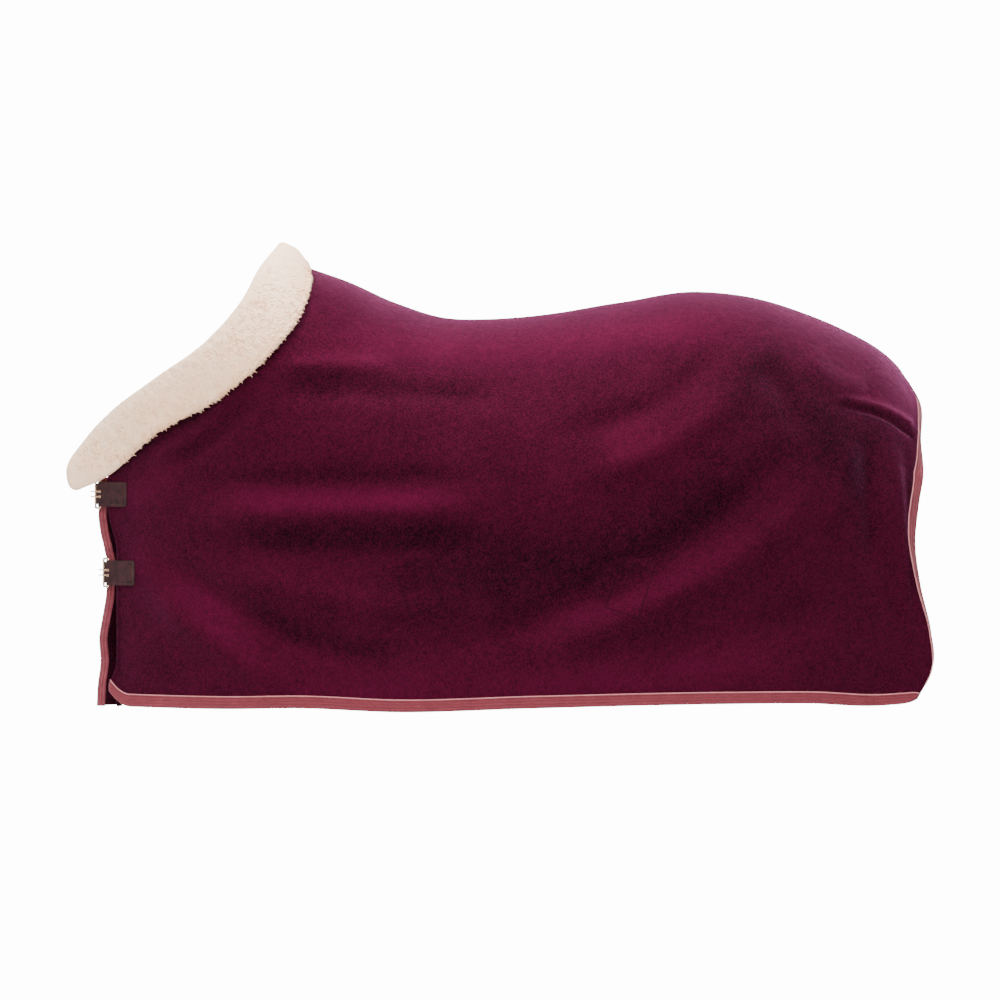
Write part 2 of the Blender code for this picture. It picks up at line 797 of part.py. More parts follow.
def girth_ring(side, place, group, parent):
    """A D-shaped wire ring: a straight bar along X and a round bow hanging below it."""
    half = RING_WIDTH / 2
    points = [(-half, 0.0, 0.0), (half, 0.0, 0.0)]
    bow = RING_DROP - half
    for x, z in circle((0.0, -bow), half, 0.0, -math.pi, 11, closed=False):
        points.append((x, 0.0, z))
    name = side_name(side) + "_girth_ring_" + place
    obj = tube_object(name, points, RING_WIRE, "brass", group, cyclic=True, sides=1)
    obj.parent = parent
    return obj


def empty(name, location, group):
    obj = bpy.data.objects.new(name, None)
    obj.location = location
    group.objects.link(obj)
    return obj


def build_side(side, group):
    for front in (False, True):
        side_panel(side, front, group)
        hem_binding(side, front, group)
        hem_piping(side, front, group)
    collar_front(side, group)
    rump_dart(side, group)
    for place in GIRTH_PATCHES:
        girth_patch(side, place, group)
        girth_loop(side, place, group)
        pivot = empty(side_name(side) + "_ring_axis_" + place, ring_axis(side, place), group)
        girth_ring(side, place, group, pivot)


def build_chest(group, cutters):
    near_facing(group)
    near_edge_binding(group)
    far_facing(group)
    far_edge_binding(group)
    for place, z in BUCKLE_HEIGHTS.items():
        heel, _ = bar_places(z)
        pivot = empty("buckle_axis_" + place, (chest_line(z) + heel[0], heel[1], z), group)
        near_patch(place, z, group, cutters)
        buckle_frame(place, z, group, pivot)
        buckle_prongs(place, z, group, cutters, pivot)
        far_strap(place, z, group)
        far_patch(place, z, group)


def main():
    clear_scene()
    group = collection("horse_rug")
    cutters = collection("cutters")
    for side in (-1, 1):
        build_side(side, group)
    collar_crest(group)
    tail_binding(group)
    tail_piping(group)
    back_seam_tape(group)
    build_chest(group, cutters)


main()
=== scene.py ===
"""Looks of the horse rug: velour fleece, fur collar, ribbed binding, pale piping and leather closure.

Units are metres. +Z is up, the horse faces -X and its near side is -Y.
"""

import math
import random

import bmesh
import bpy
import numpy as np
from mathutils import Matrix, Vector, noise


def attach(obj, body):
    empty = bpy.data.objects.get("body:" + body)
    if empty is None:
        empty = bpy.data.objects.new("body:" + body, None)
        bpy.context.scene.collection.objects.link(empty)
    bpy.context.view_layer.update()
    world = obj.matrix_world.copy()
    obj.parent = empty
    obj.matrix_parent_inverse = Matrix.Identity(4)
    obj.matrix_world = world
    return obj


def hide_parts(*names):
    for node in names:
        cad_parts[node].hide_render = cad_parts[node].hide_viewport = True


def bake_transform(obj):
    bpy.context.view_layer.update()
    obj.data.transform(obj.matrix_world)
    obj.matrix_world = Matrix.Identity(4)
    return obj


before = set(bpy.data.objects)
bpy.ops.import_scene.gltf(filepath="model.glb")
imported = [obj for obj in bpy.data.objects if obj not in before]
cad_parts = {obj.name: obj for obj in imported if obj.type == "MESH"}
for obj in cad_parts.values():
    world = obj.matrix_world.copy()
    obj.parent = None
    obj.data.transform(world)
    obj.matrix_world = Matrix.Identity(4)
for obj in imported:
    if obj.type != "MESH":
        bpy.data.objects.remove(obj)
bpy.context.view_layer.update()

# Cloth and trims
FLEECE = 0.005
WEBBING = 0.0016
LEATHER = 0.0024
TRIM_GAP = 0.0009

# Outline of one side: (x, z) points on the outer face of the cloth
SPINE = [(-0.406, 0.1255), (-0.313, 0.0955), (-0.209, 0.0465), (-0.104, 0.0135), (0.0, 0.0078),
         (0.174, 0.0235), (0.313, 0.0465), (0.487, 0.0705), (0.592, 0.0635), (0.731, 0.0285),
         (0.835, -0.0155), (0.940, -0.0805), (0.988, -0.1415)]
CREST = [(-1.05, 0.52), (-0.90, 0.45), (-0.70, 0.345), (-0.55, 0.245), (-0.473, 0.1885)]
NECK_EDGE = [(-0.406, 0.1255), (-0.432, 0.045), (-0.503, -0.061), (-0.620, -0.165),
             (-0.780, -0.262), (-0.880, -0.352)]
COLLAR_EDGE = [(-0.473, 0.1885), (-0.522, 0.129), (-0.566, 0.050), (-0.647, -0.043),
               (-0.766, -0.129), (-0.868, -0.207), (-0.930, -0.270), (-0.970, -0.326), (-0.966, -0.388)]
HEM = [(-0.876, -0.891), (-0.60, -0.894), (-0.43, -0.891), (-0.20, -0.899), (0.10, -0.890),
       (0.55, -0.880), (0.75, -0.879), (0.93, -0.884), (0.963, -0.880), (1.005, -0.860)]
TAIL_EDGE = [(0.988, -0.1415), (1.013, -0.190), (1.0125, -0.275), (1.018, -0.350), (1.007, -0.420),
             (0.998, -0.510), (1.010, -0.610), (1.034, -0.715), (1.040, -0.790), (1.005, -0.860)]
HALF_WIDTH = [(-0.99, 0.014), (-0.92, 0.036), (-0.877, 0.062), (-0.80, 0.118), (-0.70, 0.178),
              (-0.55, 0.245), (-0.35, 0.292), (-0.10, 0.318), (0.20, 0.332), (0.50, 0.328),
              (0.75, 0.302), (0.90, 0.258), (1.05, 0.205)]
ARCH_DEPTH = 0.42
ARCH_POWER = 1.9
HANG_TAPER = 0.03
DOCK_SLOPE = 1.15

# Share of the drop that lies in the arch, and the v at which the arch ends
ARCH_SHARE = 0.42
ARCH_TURN = 0.45

# Front lower corner: how far the hem rises and the edge flares forward
CORNER_RISE = 0.034
CORNER_REACH = 0.050
CORNER_POWER = 12
CORNER_FLARE = 0.018
CORNER_FLARE_Z = (-0.880, -0.800)
SHADED_RIM = 0.006

# Chest opening
CHEST_X = -0.866
CHEST_STEP = 0.019
CHEST_STEP_Z = (-0.53, -0.44)
NEAR_EDGE_X = 0.008
NECK_SHARE = 0.58
NECK_BLEND = 0.06
NEAR_TURN = [(0.0082, -0.0735), (0.0070, -0.0620), (0.0120, -0.0460), (0.0150, -0.0200)]
FAR_TURN = [(0.0080, 0.0735), (-0.0060, 0.0610), (-0.0140, 0.0400), (-0.0160, 0.0100),
            (-0.0150, -0.0180), (-0.0100, -0.0340), (0.0040, -0.0430)]
NEAR_EDGE_TOP = -0.372
FAR_EDGE_TOP = -0.362
HEM_BOTTOM = -0.894

# How far the far panel's loose front edge swings forward, by height
EDGE_SWAY = [(-0.894, -0.024), (-0.849, -0.022), (-0.791, -0.0150), (-0.733, -0.0180),
             (-0.690, -0.0110), (-0.640, -0.0025), (-0.612, 0.0), (-0.583, 0.0), (-0.555, 0.0),
             (-0.530, -0.0060), (-0.501, -0.0080), (-0.470, -0.0040), (-0.432, 0.0), (-0.400, 0.0),
             (-0.360, 0.0)]

# Trims
HEM_BAND = 0.026
TAIL_BAND = 0.024
REAR_TAPER = 0.055
REAR_TAPER_SHARE = 0.80
PIPING_RADIUS = 0.0015
RIB_PITCH = 0.0078
RIB_HEIGHT = 0.0007

# Leather patches round the buckles' bars, and their stitching
BUCKLE_HEIGHTS = {"upper": -0.400, "lower": -0.583}
PATCH_HALF = 0.029
PATCH_LENGTH = 0.050
PATCH_FRONT = 0.009
PATCH_CORNER = 0.005
HEEL_BAR = (-0.012, -0.052)
LOOP_BORE = 0.0030
LOOP_START = 0.45
LOOP_END = 0.50
PRONG_SPACING = 0.012
SLOT_HALF = 0.0030
SLOT_BACK = -0.0100
STITCH_INSET = 0.0042
STITCH_PITCH = 0.0042
STITCH_SHAPE = (0.00135, 0.00042, 0.00042)

# Relief of a patch's border: distance from the edge, width and height of each line
PRESSED_LINES = [(0.0022, 0.0012, 0.0007), (STITCH_INSET, 0.0010, -0.0006)]

# Inner patches for the belly strap, whose stitching shows on the outside: (x, z, tilt)
GIRTH_PATCHES = [(-0.153, -0.611, 0.32), (0.336, -0.618, -0.32)]
GIRTH_PATCH_SIZE = (0.078, 0.112)
GIRTH_SINK = 0.0006
GIRTH_CLEAR = (0.065, 0.060)

# Soft folds of the hanging cloth: points along the crest, width, height (negative is a hollow)
FOLDS = [
    ([(-0.72, -0.452), (-0.36, -0.442), (0.06, -0.430)], 0.034, 0.0085),
    ([(-0.72, -0.375), (-0.36, -0.366), (0.02, -0.356)], 0.028, -0.0045),
    ([(-0.68, -0.525), (-0.30, -0.528), (0.08, -0.508)], 0.034, -0.0055),
    ([(-0.50, -0.100), (-0.36, -0.098), (-0.20, -0.104)], 0.022, 0.0065),
    ([(-0.54, -0.160), (-0.25, -0.160), (0.10, -0.176)], 0.026, -0.0055),
    ([(0.58, -0.020), (0.445, -0.160), (0.14, -0.280)], 0.032, -0.0070),
    ([(0.62, -0.120), (0.485, -0.245), (0.20, -0.375)], 0.034, 0.0080),
    ([(0.80, -0.210), (0.510, -0.470), (0.316, -0.585), (0.056, -0.712), (-0.204, -0.790)],
     0.038, -0.0110),
    ([(0.84, -0.330), (0.580, -0.555), (0.370, -0.665), (0.060, -0.800)], 0.042, 0.0125),
    ([(-0.80, -0.500), (-0.726, -0.560), (-0.596, -0.648), (-0.427, -0.738), (-0.20, -0.790)],
     0.032, -0.0095),
    ([(-0.80, -0.590), (-0.700, -0.690), (-0.560, -0.790), (-0.44, -0.860)], 0.036, 0.0105),
    ([(-0.62, -0.570), (-0.30, -0.650), (0.05, -0.660)], 0.040, 0.0085),
    ([(-0.80, -0.340), (-0.66, -0.250), (-0.54, -0.130)], 0.018, 0.0060),
    ([(-0.74, -0.350), (-0.60, -0.255), (-0.50, -0.150)], 0.018, -0.0040),
    ([(0.38, -0.770), (0.62, -0.710), (0.84, -0.650)], 0.050, -0.0070),
    ([(0.62, -0.080), (0.70, -0.170), (0.73, -0.280)], 0.032, -0.0090),
    ([(0.74, -0.060), (0.80, -0.130), (0.90, -0.160)], 0.030, 0.0060),
    ([(0.932, -0.215), (0.947, -0.285), (0.958, -0.350), (0.970, -0.455), (0.980, -0.640),
      (0.992, -0.790)], 0.0150, 0.0032),
    ([(0.972, -0.265), (0.977, -0.340), (0.984, -0.455), (0.994, -0.600), (1.004, -0.730)], 0.0100, -0.0035),
    ([(0.890, -0.240), (0.892, -0.400), (0.905, -0.600)], 0.022, -0.0080),
    ([(0.850, -0.260), (0.830, -0.380), (0.78, -0.500)], 0.026, 0.0080),
    ([(0.780, -0.176), (0.847, -0.180), (0.935, -0.203), (0.975, -0.225), (1.06, -0.290)], 0.0085, 0.0046),
    ([(0.805, -0.195), (0.847, -0.199), (0.935, -0.226), (0.975, -0.252), (1.07, -0.325)], 0.0050, -0.0045),
]

# Painted light and shade on the fleece: points along the middle, width, and painted lighter (+) or darker
# (-)
PAINTED_SHADING_STROKES = [
    ([(-0.44, 0.020), (-0.20, -0.045), (0.10, -0.050), (0.40, -0.010), (0.70, 0.000)], 0.045, 0.34),
    ([(-0.70, -0.418), (-0.36, -0.412), (0.02, -0.408)], 0.030, 0.34),
    ([(-0.72, -0.352), (-0.36, -0.352), (0.00, -0.345)], 0.022, -0.16),
    ([(-0.66, -0.495), (-0.30, -0.500), (0.06, -0.490)], 0.032, -0.34),
    ([(-0.36, -0.580), (0.00, -0.575), (0.30, -0.545), (0.52, -0.420), (0.72, -0.220)], 0.080, -0.40),
    ([(0.52, -0.090), (0.70, -0.180), (0.84, -0.290), (0.90, -0.420)], 0.095, -0.38),
    ([(0.26, -0.220), (0.40, -0.300), (0.52, -0.280)], 0.060, 0.16),
    ([(-0.84, -0.470), (-0.76, -0.580), (-0.66, -0.660), (-0.52, -0.770)], 0.060, 0.18),
    ([(-0.80, -0.640), (-0.66, -0.740), (-0.46, -0.830), (0.10, -0.840), (0.60, -0.800),
      (0.92, -0.760)], 0.060, 0.26),
    ([(-0.58, -0.640), (-0.40, -0.730), (-0.10, -0.770)], 0.030, -0.22),
    ([(0.12, -0.700), (0.40, -0.610), (0.66, -0.440)], 0.040, 0.22),
    ([(-0.50, -0.090), (-0.34, -0.075), (-0.16, -0.085)], 0.030, 0.14),
    ([(-0.55, -0.165), (-0.25, -0.160), (0.12, -0.180)], 0.030, -0.14),
    ([(-0.86, -0.420), (-0.78, -0.380), (-0.70, -0.290)], 0.040, 0.20),
    ([(-0.86, -0.430), (-0.85, -0.650), (-0.85, -0.870)], 0.018, -0.20),
    ([(0.992, -0.300), (0.994, -0.480), (1.004, -0.640)], 0.014, -0.50),
    ([(0.82, -0.203), (0.90, -0.220), (0.96, -0.245), (1.04, -0.300)], 0.0042, -0.46),
    ([(0.80, -0.166), (0.88, -0.168), (0.95, -0.190), (1.03, -0.240)], 0.014, 0.20),
    ([(0.87, -0.290), (0.88, -0.430), (0.89, -0.560)], 0.024, -0.20),
]

# The shade that the collar leaves on the cloth behind it
NECK_SHADE = 0.80
NECK_SHADE_WIDTH = 0.018

# How much of the tail binding's width is seen from the side, by height; the rest turns inwards
TAIL_SHOWN = [(-0.900, 0.003), (-0.690, 0.003), (-0.640, 0.006), (-0.594, 0.009), (-0.547, 0.0115),
              (-0.501, 0.016), (-0.455, 0.019), (-0.400, 0.020), (-0.355, 0.0235), (-0.3155, 0.014),
              (-0.269, 0.006), (-0.223, 0.009), (-0.176, 0.0125), (-0.120, 0.0235)]
TAIL_LEAD = 0.11

# Where the folds fade in behind the chest and out before the tail edge, and the deepest they may be
FOLD_START = (-0.850, 0.07)
FOLD_END = (TAIL_BAND * 0.4, 0.020)
DEEPEST_FOLD = 0.02

# Loose ripples of the cloth: height, then waves along x and z with a phase, and waves across them
RIPPLES = [(0.0016, (9.0, 4.0, 0.6), (-3.0, 7.0, 0.0)),
           (0.0010, (23.0, -11.0, 0.0), (6.0, 17.0, 2.0))]


# Surface of the cloth


def curve_points(points, shares):
    """A smooth curve through points, at shares from 0 to 1 of its chord length."""
    pts = np.array(points, dtype=float)
    steps = np.hypot(*np.diff(pts, axis=0).T)
    at = np.concatenate([[0.0], np.cumsum(steps)]) / steps.sum()
    slopes = np.gradient(pts, at, axis=0)
    shares = np.clip(np.asarray(shares, dtype=float), 0.0, 1.0)
    i = np.clip(np.searchsorted(at, shares, side="right") - 1, 0, len(at) - 2)
    span = (at[i + 1] - at[i])[..., None]
    t = (shares - at[i])[..., None] / span
    ends = (2 * t**3 - 3 * t**2 + 1) * pts[i] + (3 * t**2 - 2 * t**3) * pts[i + 1]
    return ends + ((t**3 - 2 * t**2 + t) * slopes[i] + (t**3 - t**2) * slopes[i + 1]) * span


def graph_height(points, x):
    """The value at x of a smooth graph through (x, value) points."""
    pts = np.array(points, dtype=float)
    slopes = np.gradient(pts[:, 1], pts[:, 0])
    x = np.clip(x, pts[0, 0], pts[-1, 0])
    i = np.clip(np.searchsorted(pts[:, 0], x, side="right") - 1, 0, len(pts) - 2)
    span = pts[i + 1, 0] - pts[i, 0]
    t = (x - pts[i, 0]) / span
    ends = (2 * t**3 - 3 * t**2 + 1) * pts[i, 1] + (3 * t**2 - 2 * t**3) * pts[i + 1, 1]
    return ends + ((t**3 - 2 * t**2 + t) * slopes[i] + (t**3 - t**2) * slopes[i + 1]) * span


def smoothstep(value):
    value = np.clip(value, 0.0, 1.0)
    return value * value * (3 - 2 * value)


def chest_line(z):
    """The x of the chest opening at height z."""
    low, high = CHEST_STEP_Z
    return CHEST_X - CHEST_STEP * smoothstep((z - low) / (high - low))


SPINE_LINE = curve_points(SPINE, np.linspace(0, 1, 2001))
RUG_LENGTH = HEM[-1][0] - HEM[0][0]


def crest_height(x):
    """Height of the back at x, carried on up the neck and down past the dock."""
    back = np.interp(x, SPINE_LINE[:, 0], SPINE_LINE[:, 1])
    dock = SPINE[-1][1] - DOCK_SLOPE * (x - SPINE[-1][0])
    neck = graph_height(CREST + SPINE[:2], x)
    return np.where(x > SPINE[-1][0], dock, np.where(x < SPINE[0][0], neck, back))


def side_y(x, z):
    """Half-width of the rug's outer face at (x, z)."""
    depth = np.maximum(crest_height(x) - z, 0.0) / ARCH_DEPTH
    width = graph_height(HALF_WIDTH, x)
    arch = (1 - np.clip(1 - depth, 0.0, 1.0) ** ARCH_POWER) ** (1 / ARCH_POWER)
    return width * np.where(depth >= 1.0, 1 - HANG_TAPER * (depth - 1.0), arch)


def front_edge_x(z):
    """The x of the near panel's front edge at height z."""
    low, high = CORNER_FLARE_Z
    return chest_line(z) + NEAR_EDGE_X - CORNER_FLARE * smoothstep((high - z) / (high - low))


def front_outline(g):
    """The front edge: down the neck to the collar's end, then down the chest."""
    top = NECK_EDGE[-1][1]
    share = np.clip((g - NECK_SHARE) / (1 - NECK_SHARE), 0.0, 1.0)
    z = top + (HEM[0][1] - top) * share
    corner = smoothstep((g - NECK_SHARE) / NECK_BLEND)
    x = NECK_EDGE[-1][0] + (front_edge_x(z) - NECK_EDGE[-1][0]) * corner
    neck = curve_points(NECK_EDGE, g / NECK_SHARE)
    return np.where((g < NECK_SHARE)[..., None], neck, np.stack([x, z], axis=-1))


def side_outline(u, g):
    """A point of the flat side view: u runs from front to tail, g from the spine to the hem."""
    bottom = curve_points(HEM, u)
    rise = CORNER_RISE * np.clip(1 - (bottom[..., 0] - HEM[0][0]) / CORNER_REACH, 0.0, 1.0) ** 2
    u, g = u[..., None], g[..., None]
    corners = ((1 - u) * (1 - g) * np.array(SPINE[0]) + u * (1 - g) * np.array(SPINE[-1])
               + (1 - u) * g * np.array(HEM[0]) + u * g * np.array(HEM[-1]))
    flat = ((1 - g) * curve_points(SPINE, u[..., 0]) + g * bottom
            + (1 - u) * front_outline(g[..., 0]) + u * curve_points(TAIL_EDGE, g[..., 0]) - corners)
    flat[..., 1] += rise * g[..., 0] ** CORNER_POWER
    return flat


def drop(v):
    """Share of the drop at v of the way round the arch."""
    arch = ARCH_SHARE * (1 - np.cos(np.clip(v / ARCH_TURN, 0.0, 1.0) * math.pi / 2))
    hang = ARCH_SHARE + (1 - ARCH_SHARE) * (v - ARCH_TURN) / (1 - ARCH_TURN)
    return np.where(v < ARCH_TURN, arch, hang)


def rug_face(u, v):
    """Points on the near side's smooth outer face."""
    u, v = np.clip(u, 0.0, 1.0), np.clip(v, 0.0, 1.0)
    flat = side_outline(u, drop(v))
    y = np.where(v < 1e-6, 0.0, side_y(flat[..., 0], flat[..., 1]))
    edge = side_outline(np.ones_like(u), drop(v))
    piped = 1 - TAIL_BAND / RUG_LENGTH
    lead = smoothstep((u - piped + TAIL_LEAD / RUG_LENGTH) / (TAIL_LEAD / RUG_LENGTH))
    across = np.clip((u - piped) / (1 - piped), 0.0, 1.0)
    shown = np.interp(edge[..., 1], [z for z, _ in TAIL_SHOWN], [width for _, width in TAIL_SHOWN])
    ahead = flat[..., 0] + (TAIL_BAND - shown) * lead
    x = np.where(u > piped, edge[..., 0] - shown * (1 - across),
                 np.minimum(ahead, edge[..., 0] - shown * lead))
    turned = np.sqrt(np.maximum(TAIL_BAND**2 - shown**2, 0.0)) * across * smoothstep(v / 0.25)
    return np.stack([x, -np.maximum(y - turned, 0.0), flat[..., 1]], axis=-1)


def strokes(x, z, marks):
    """Sum of soft strokes at (x, z), each faded towards its ends."""
    total = np.zeros_like(x)
    for points, width, amount in marks:
        line = curve_points(points, np.linspace(0, 1, 48))
        away = (x[..., None] - line[:, 0]) ** 2 + (z[..., None] - line[:, 1]) ** 2
        share = np.argmin(away, axis=-1) / 47.0
        fade = smoothstep(np.minimum(share, 1 - share) / 0.28)
        total = total + amount * np.exp(-away.min(axis=-1) / width**2) * fade
    return total


def fold_height(x, z):
    """How far the hanging cloth stands out of its smooth face at (x, z)."""
    height = np.zeros_like(x)
    for rise, along, over in RIPPLES:
        height = height + (rise * np.sin(along[0] * x + along[1] * z + along[2])
                           * np.sin(over[0] * x + over[1] * z + over[2]))
    height = (height + strokes(x, z, FOLDS)) * smoothstep((x - FOLD_START[0]) / FOLD_START[1])
    edge = np.interp(-z, [-point[1] for point in TAIL_EDGE], [point[0] for point in TAIL_EDGE])
    height = height * smoothstep((edge - x - FOLD_END[0]) / FOLD_END[1])
    for px, pz, _ in GIRTH_PATCHES:
        clear = smoothstep((np.hypot(x - px, z - pz) - GIRTH_CLEAR[0]) / GIRTH_CLEAR[1])
        height = np.maximum(height, -GIRTH_SINK - DEEPEST_FOLD * clear)
    return height


def painted_shading(x, z):
    """Painted light and shade at (x, z), about 0.5: painted lighter where the cloth leans back to face the
    light above, darker under the collar.
    """
    lean = (fold_height(x, z - 0.010) - fold_height(x, z + 0.010)) / 0.020
    line = curve_points(NECK_EDGE, np.linspace(0, 1, 160))
    away = ((x[:, None] - line[:, 0]) ** 2 + (z[:, None] - line[:, 1]) ** 2).min(axis=1)
    shade = NECK_SHADE * np.exp(-away / NECK_SHADE_WIDTH**2) * smoothstep((x + 0.90) / 0.06)
    return np.clip(0.5 + 0.55 * lean + strokes(x, z, PAINTED_SHADING_STROKES) - shade, 0.0, 1.0)


def above_hem(u, distance):
    """The v that lies this far above the hem on the cloth."""
    step = 0.04
    span = np.linalg.norm(rug_face(u, np.ones_like(u)) - rug_face(u, np.full_like(u, 1 - step)), axis=-1)
    return 1 - step * distance / span


def cloth(u, v, lift=0.0):
    """Points lifted off the folded cloth along its normal."""
    u, v = np.asarray(u, dtype=float), np.asarray(v, dtype=float)
    step = 0.004
    along = rug_face(u + step, v) - rug_face(u - step, v)
    down = rug_face(u, v + step) - rug_face(u, v - step)
    normal = np.cross(down, along)
    normal /= np.maximum(np.linalg.norm(normal, axis=-1, keepdims=True), 1e-12)
    spots = rug_face(u, v)
    raise_by = fold_height(spots[..., 0], spots[..., 2]) + lift
    return spots + normal * raise_by[..., None]


def edge_frame(u, v, du, dv):
    """Direction that leaves the cloth across its edge, and the outward normal, at each point."""
    leave = cloth(u, v) - cloth(u - du, v - dv)
    leave /= np.linalg.norm(leave, axis=-1, keepdims=True)
    normal = cloth(u, v, 0.001) - cloth(u, v)
    normal /= np.linalg.norm(normal, axis=-1, keepdims=True)
    return leave, normal


# Mesh helpers


def finished(name, bm, finish, thickness=0.0, smooth=True):
    """A mesh object in the scene, with an optional wall thickness inside its face."""
    mesh = bpy.data.meshes.new(name)
    bm.to_mesh(mesh)
    bm.free()
    if smooth:
        mesh.shade_smooth()
    mesh.materials.append(finish)
    piece = bpy.data.objects.new(name, mesh)
    bpy.context.scene.collection.objects.link(piece)
    if thickness:
        wall = piece.modifiers.new("wall", "SOLIDIFY")
        wall.thickness = thickness
        wall.offset = -1.0
    return piece


def shaped_grid(columns, rows, place, size, side=-1):
    """A grid placed by place(i, j) on arrays of shares, with a UV map in metres."""
    bm = bmesh.new()
    surface = bm.loops.layers.uv.new("surface")
    bmesh.ops.create_grid(bm, x_segments=columns, y_segments=rows, size=1.0)
    share = np.array([((vert.co.x + 1) / 2, (1 - vert.co.y) / 2) for vert in bm.verts])
    bm.verts.index_update()
    for face in bm.faces:
        for loop in face.loops:
            i, j = share[loop.vert.index]
            loop[surface].uv = (i * size[0], j * size[1])
    spots = place(share[:, 0], share[:, 1])
    for vert, spot in zip(bm.verts, spots):
        vert.co = spot
    if side > 0:
        for vert in bm.verts:
            vert.co.y = -vert.co.y
        bmesh.ops.reverse_faces(bm, faces=bm.faces)
    return bm


def tube(name, points, radius, finish):
    """A round piping through points, as a closed mesh."""
    curve = bpy.data.curves.new(name + "_path", "CURVE")
    curve.dimensions = "3D"
    curve.bevel_depth = radius
    curve.bevel_resolution = 3
    curve.use_fill_caps = True
    spline = curve.splines.new("POLY")
    spline.points.add(len(points) - 1)
    for spot, point in zip(spline.points, points):
        spot.co = (*point, 1.0)
    path = bpy.data.objects.new(name + "_path", curve)
    bpy.context.scene.collection.objects.link(path)
    bpy.context.view_layer.update()
    mesh = bpy.data.meshes.new_from_object(path.evaluated_get(bpy.context.evaluated_depsgraph_get()))
    bm = bmesh.new()
    bm.from_mesh(mesh)
    bmesh.ops.remove_doubles(bm, verts=bm.verts, dist=1e-5)
    bmesh.ops.recalc_face_normals(bm, faces=bm.faces)
    bpy.data.objects.remove(path, do_unlink=True)
    bpy.data.meshes.remove(mesh)
    return finished(name, bm, finish)


def mirrored(side, points):
    """Near-side points moved to this side of the rug."""
    spots = np.array(points)
    spots[:, 1] *= -side
    return spots


# Node helpers


def put(tree, kind, inputs=None, **settings):
    """A node with its settings, and inputs that are values or other nodes' sockets."""
    made = tree.nodes.new(kind)
    for key, value in settings.items():
        setattr(made, key, value)
    for key, value in (inputs or {}).items():
        if isinstance(value, bpy.types.NodeSocket):
            tree.links.new(value, made.inputs[key])
        else:
            made.inputs[key].default_value = value
    return made


def maths(tree, operation, a, b=0.0):
    return put(tree, "ShaderNodeMath", {0: a, 1: b}, operation=operation).outputs[0]


def ramp(tree, value, low, high, start=0.0, end=1.0):
    return put(tree, "ShaderNodeMapRange", {"Value": value, "From Min": low, "From Max": high,
                                            "To Min": start, "To Max": end}).outputs[0]


def mix(tree, share, a, b):
    """A colour mixed from a to b by share."""
    made = tree.nodes.new("ShaderNodeMix")
    made.data_type = "RGBA"
    sockets = [s for s in made.inputs if s.type == "RGBA"]
    for socket, value in ((made.inputs[0], share), (sockets[0], a), (sockets[1], b)):
        if isinstance(value, bpy.types.NodeSocket):
            tree.links.new(value, socket)
        else:
            socket.default_value = value
    return [s for s in made.outputs if s.type == "RGBA"][0]


def new_material(name):
    made = bpy.data.materials.new(name)
    made.use_nodes = True
    return made, made.node_tree, made.node_tree.nodes["Principled BSDF"]


def new_group(name, inputs, outputs):
    group = bpy.data.node_groups.new(name, "ShaderNodeTree")
    for label, kind, value in inputs:
        socket = group.interface.new_socket(label, in_out="INPUT", socket_type=kind)
        socket.default_value = value
    for label, kind in outputs:
        group.interface.new_socket(label, in_out="OUTPUT", socket_type=kind)
    return group, group.nodes.new("NodeGroupInput").outputs, group.nodes.new("NodeGroupOutput").inputs


def mottle_group():
    """Uneven colour and a fuzzy height, shared by every textile: a fine speckle over soft clouds."""
    group, given, result = new_group(
        "textile_mottle",
        [("Fine", "NodeSocketFloat", 400.0), ("Broad", "NodeSocketFloat", 12.0)],
        [("Mask", "NodeSocketFloat"), ("Height", "NodeSocketFloat")])
    where = put(group, "ShaderNodeTexCoord").outputs["Object"]
    fine = put(group, "ShaderNodeTexNoise", {"Vector": where, "Scale": given["Fine"], "Detail": 3.0,
                                             "Roughness": 0.65}).outputs[0]
    broad = put(group, "ShaderNodeTexNoise", {"Vector": where, "Scale": given["Broad"], "Detail": 4.0,
                                              "Roughness": 0.55}).outputs[0]
    closer = maths(group, "MULTIPLY", given["Broad"], 7.0)
    middle = put(group, "ShaderNodeTexNoise", {"Vector": where, "Scale": closer,
                                               "Detail": 2.0}).outputs[0]
    speckle = maths(group, "MULTIPLY", fine, 0.50)
    clouds = maths(group, "ADD", maths(group, "MULTIPLY", broad, 0.26),
                   maths(group, "MULTIPLY", middle, 0.24))
    group.links.new(ramp(group, maths(group, "ADD", speckle, clouds), 0.36, 0.64), result["Mask"])
    group.links.new(maths(group, "ADD", fine, maths(group, "MULTIPLY", middle, 0.6)), result["Height"])
    return group


MOTTLE = mottle_group()


def use_group(tree, group, values):
    made = tree.nodes.new("ShaderNodeGroup")
    made.node_tree = group
    for label, value in values.items():
        made.inputs[label].default_value = value
    return made.outputs


def stitched_outline(tree, place):
    """Mask of a sewn rectangle's dashed outline, seen on the outside of the cloth."""
    x, z, tilt = place
    where = put(tree, "ShaderNodeTexCoord").outputs["Object"]
    centred = put(tree, "ShaderNodeMapping", {"Vector": where, "Location": (-x, 0.0, -z)},
                  vector_type="POINT")
    spun = put(tree, "ShaderNodeMapping", {"Vector": centred.outputs[0], "Rotation": (0.0, tilt, 0.0)})
    parts = put(tree, "ShaderNodeSeparateXYZ", {0: spun.outputs[0]}).outputs
    across = maths(tree, "SUBTRACT", maths(tree, "ABSOLUTE", parts[0]), GIRTH_PATCH_SIZE[0] / 2)
    up = maths(tree, "SUBTRACT", maths(tree, "ABSOLUTE", parts[2]), GIRTH_PATCH_SIZE[1] / 2)
    edge = maths(tree, "ABSOLUTE", maths(tree, "MAXIMUM", across, up))
    line = ramp(tree, edge, 0.0012, 0.0032, 1.0, 0.0)
    run = maths(tree, "ADD", parts[0], parts[2])
    dash = ramp(tree, maths(tree, "PINGPONG", run, 0.0026), 0.0004, 0.0012, 0.45, 1.0)
    return maths(tree, "MULTIPLY", line, dash)


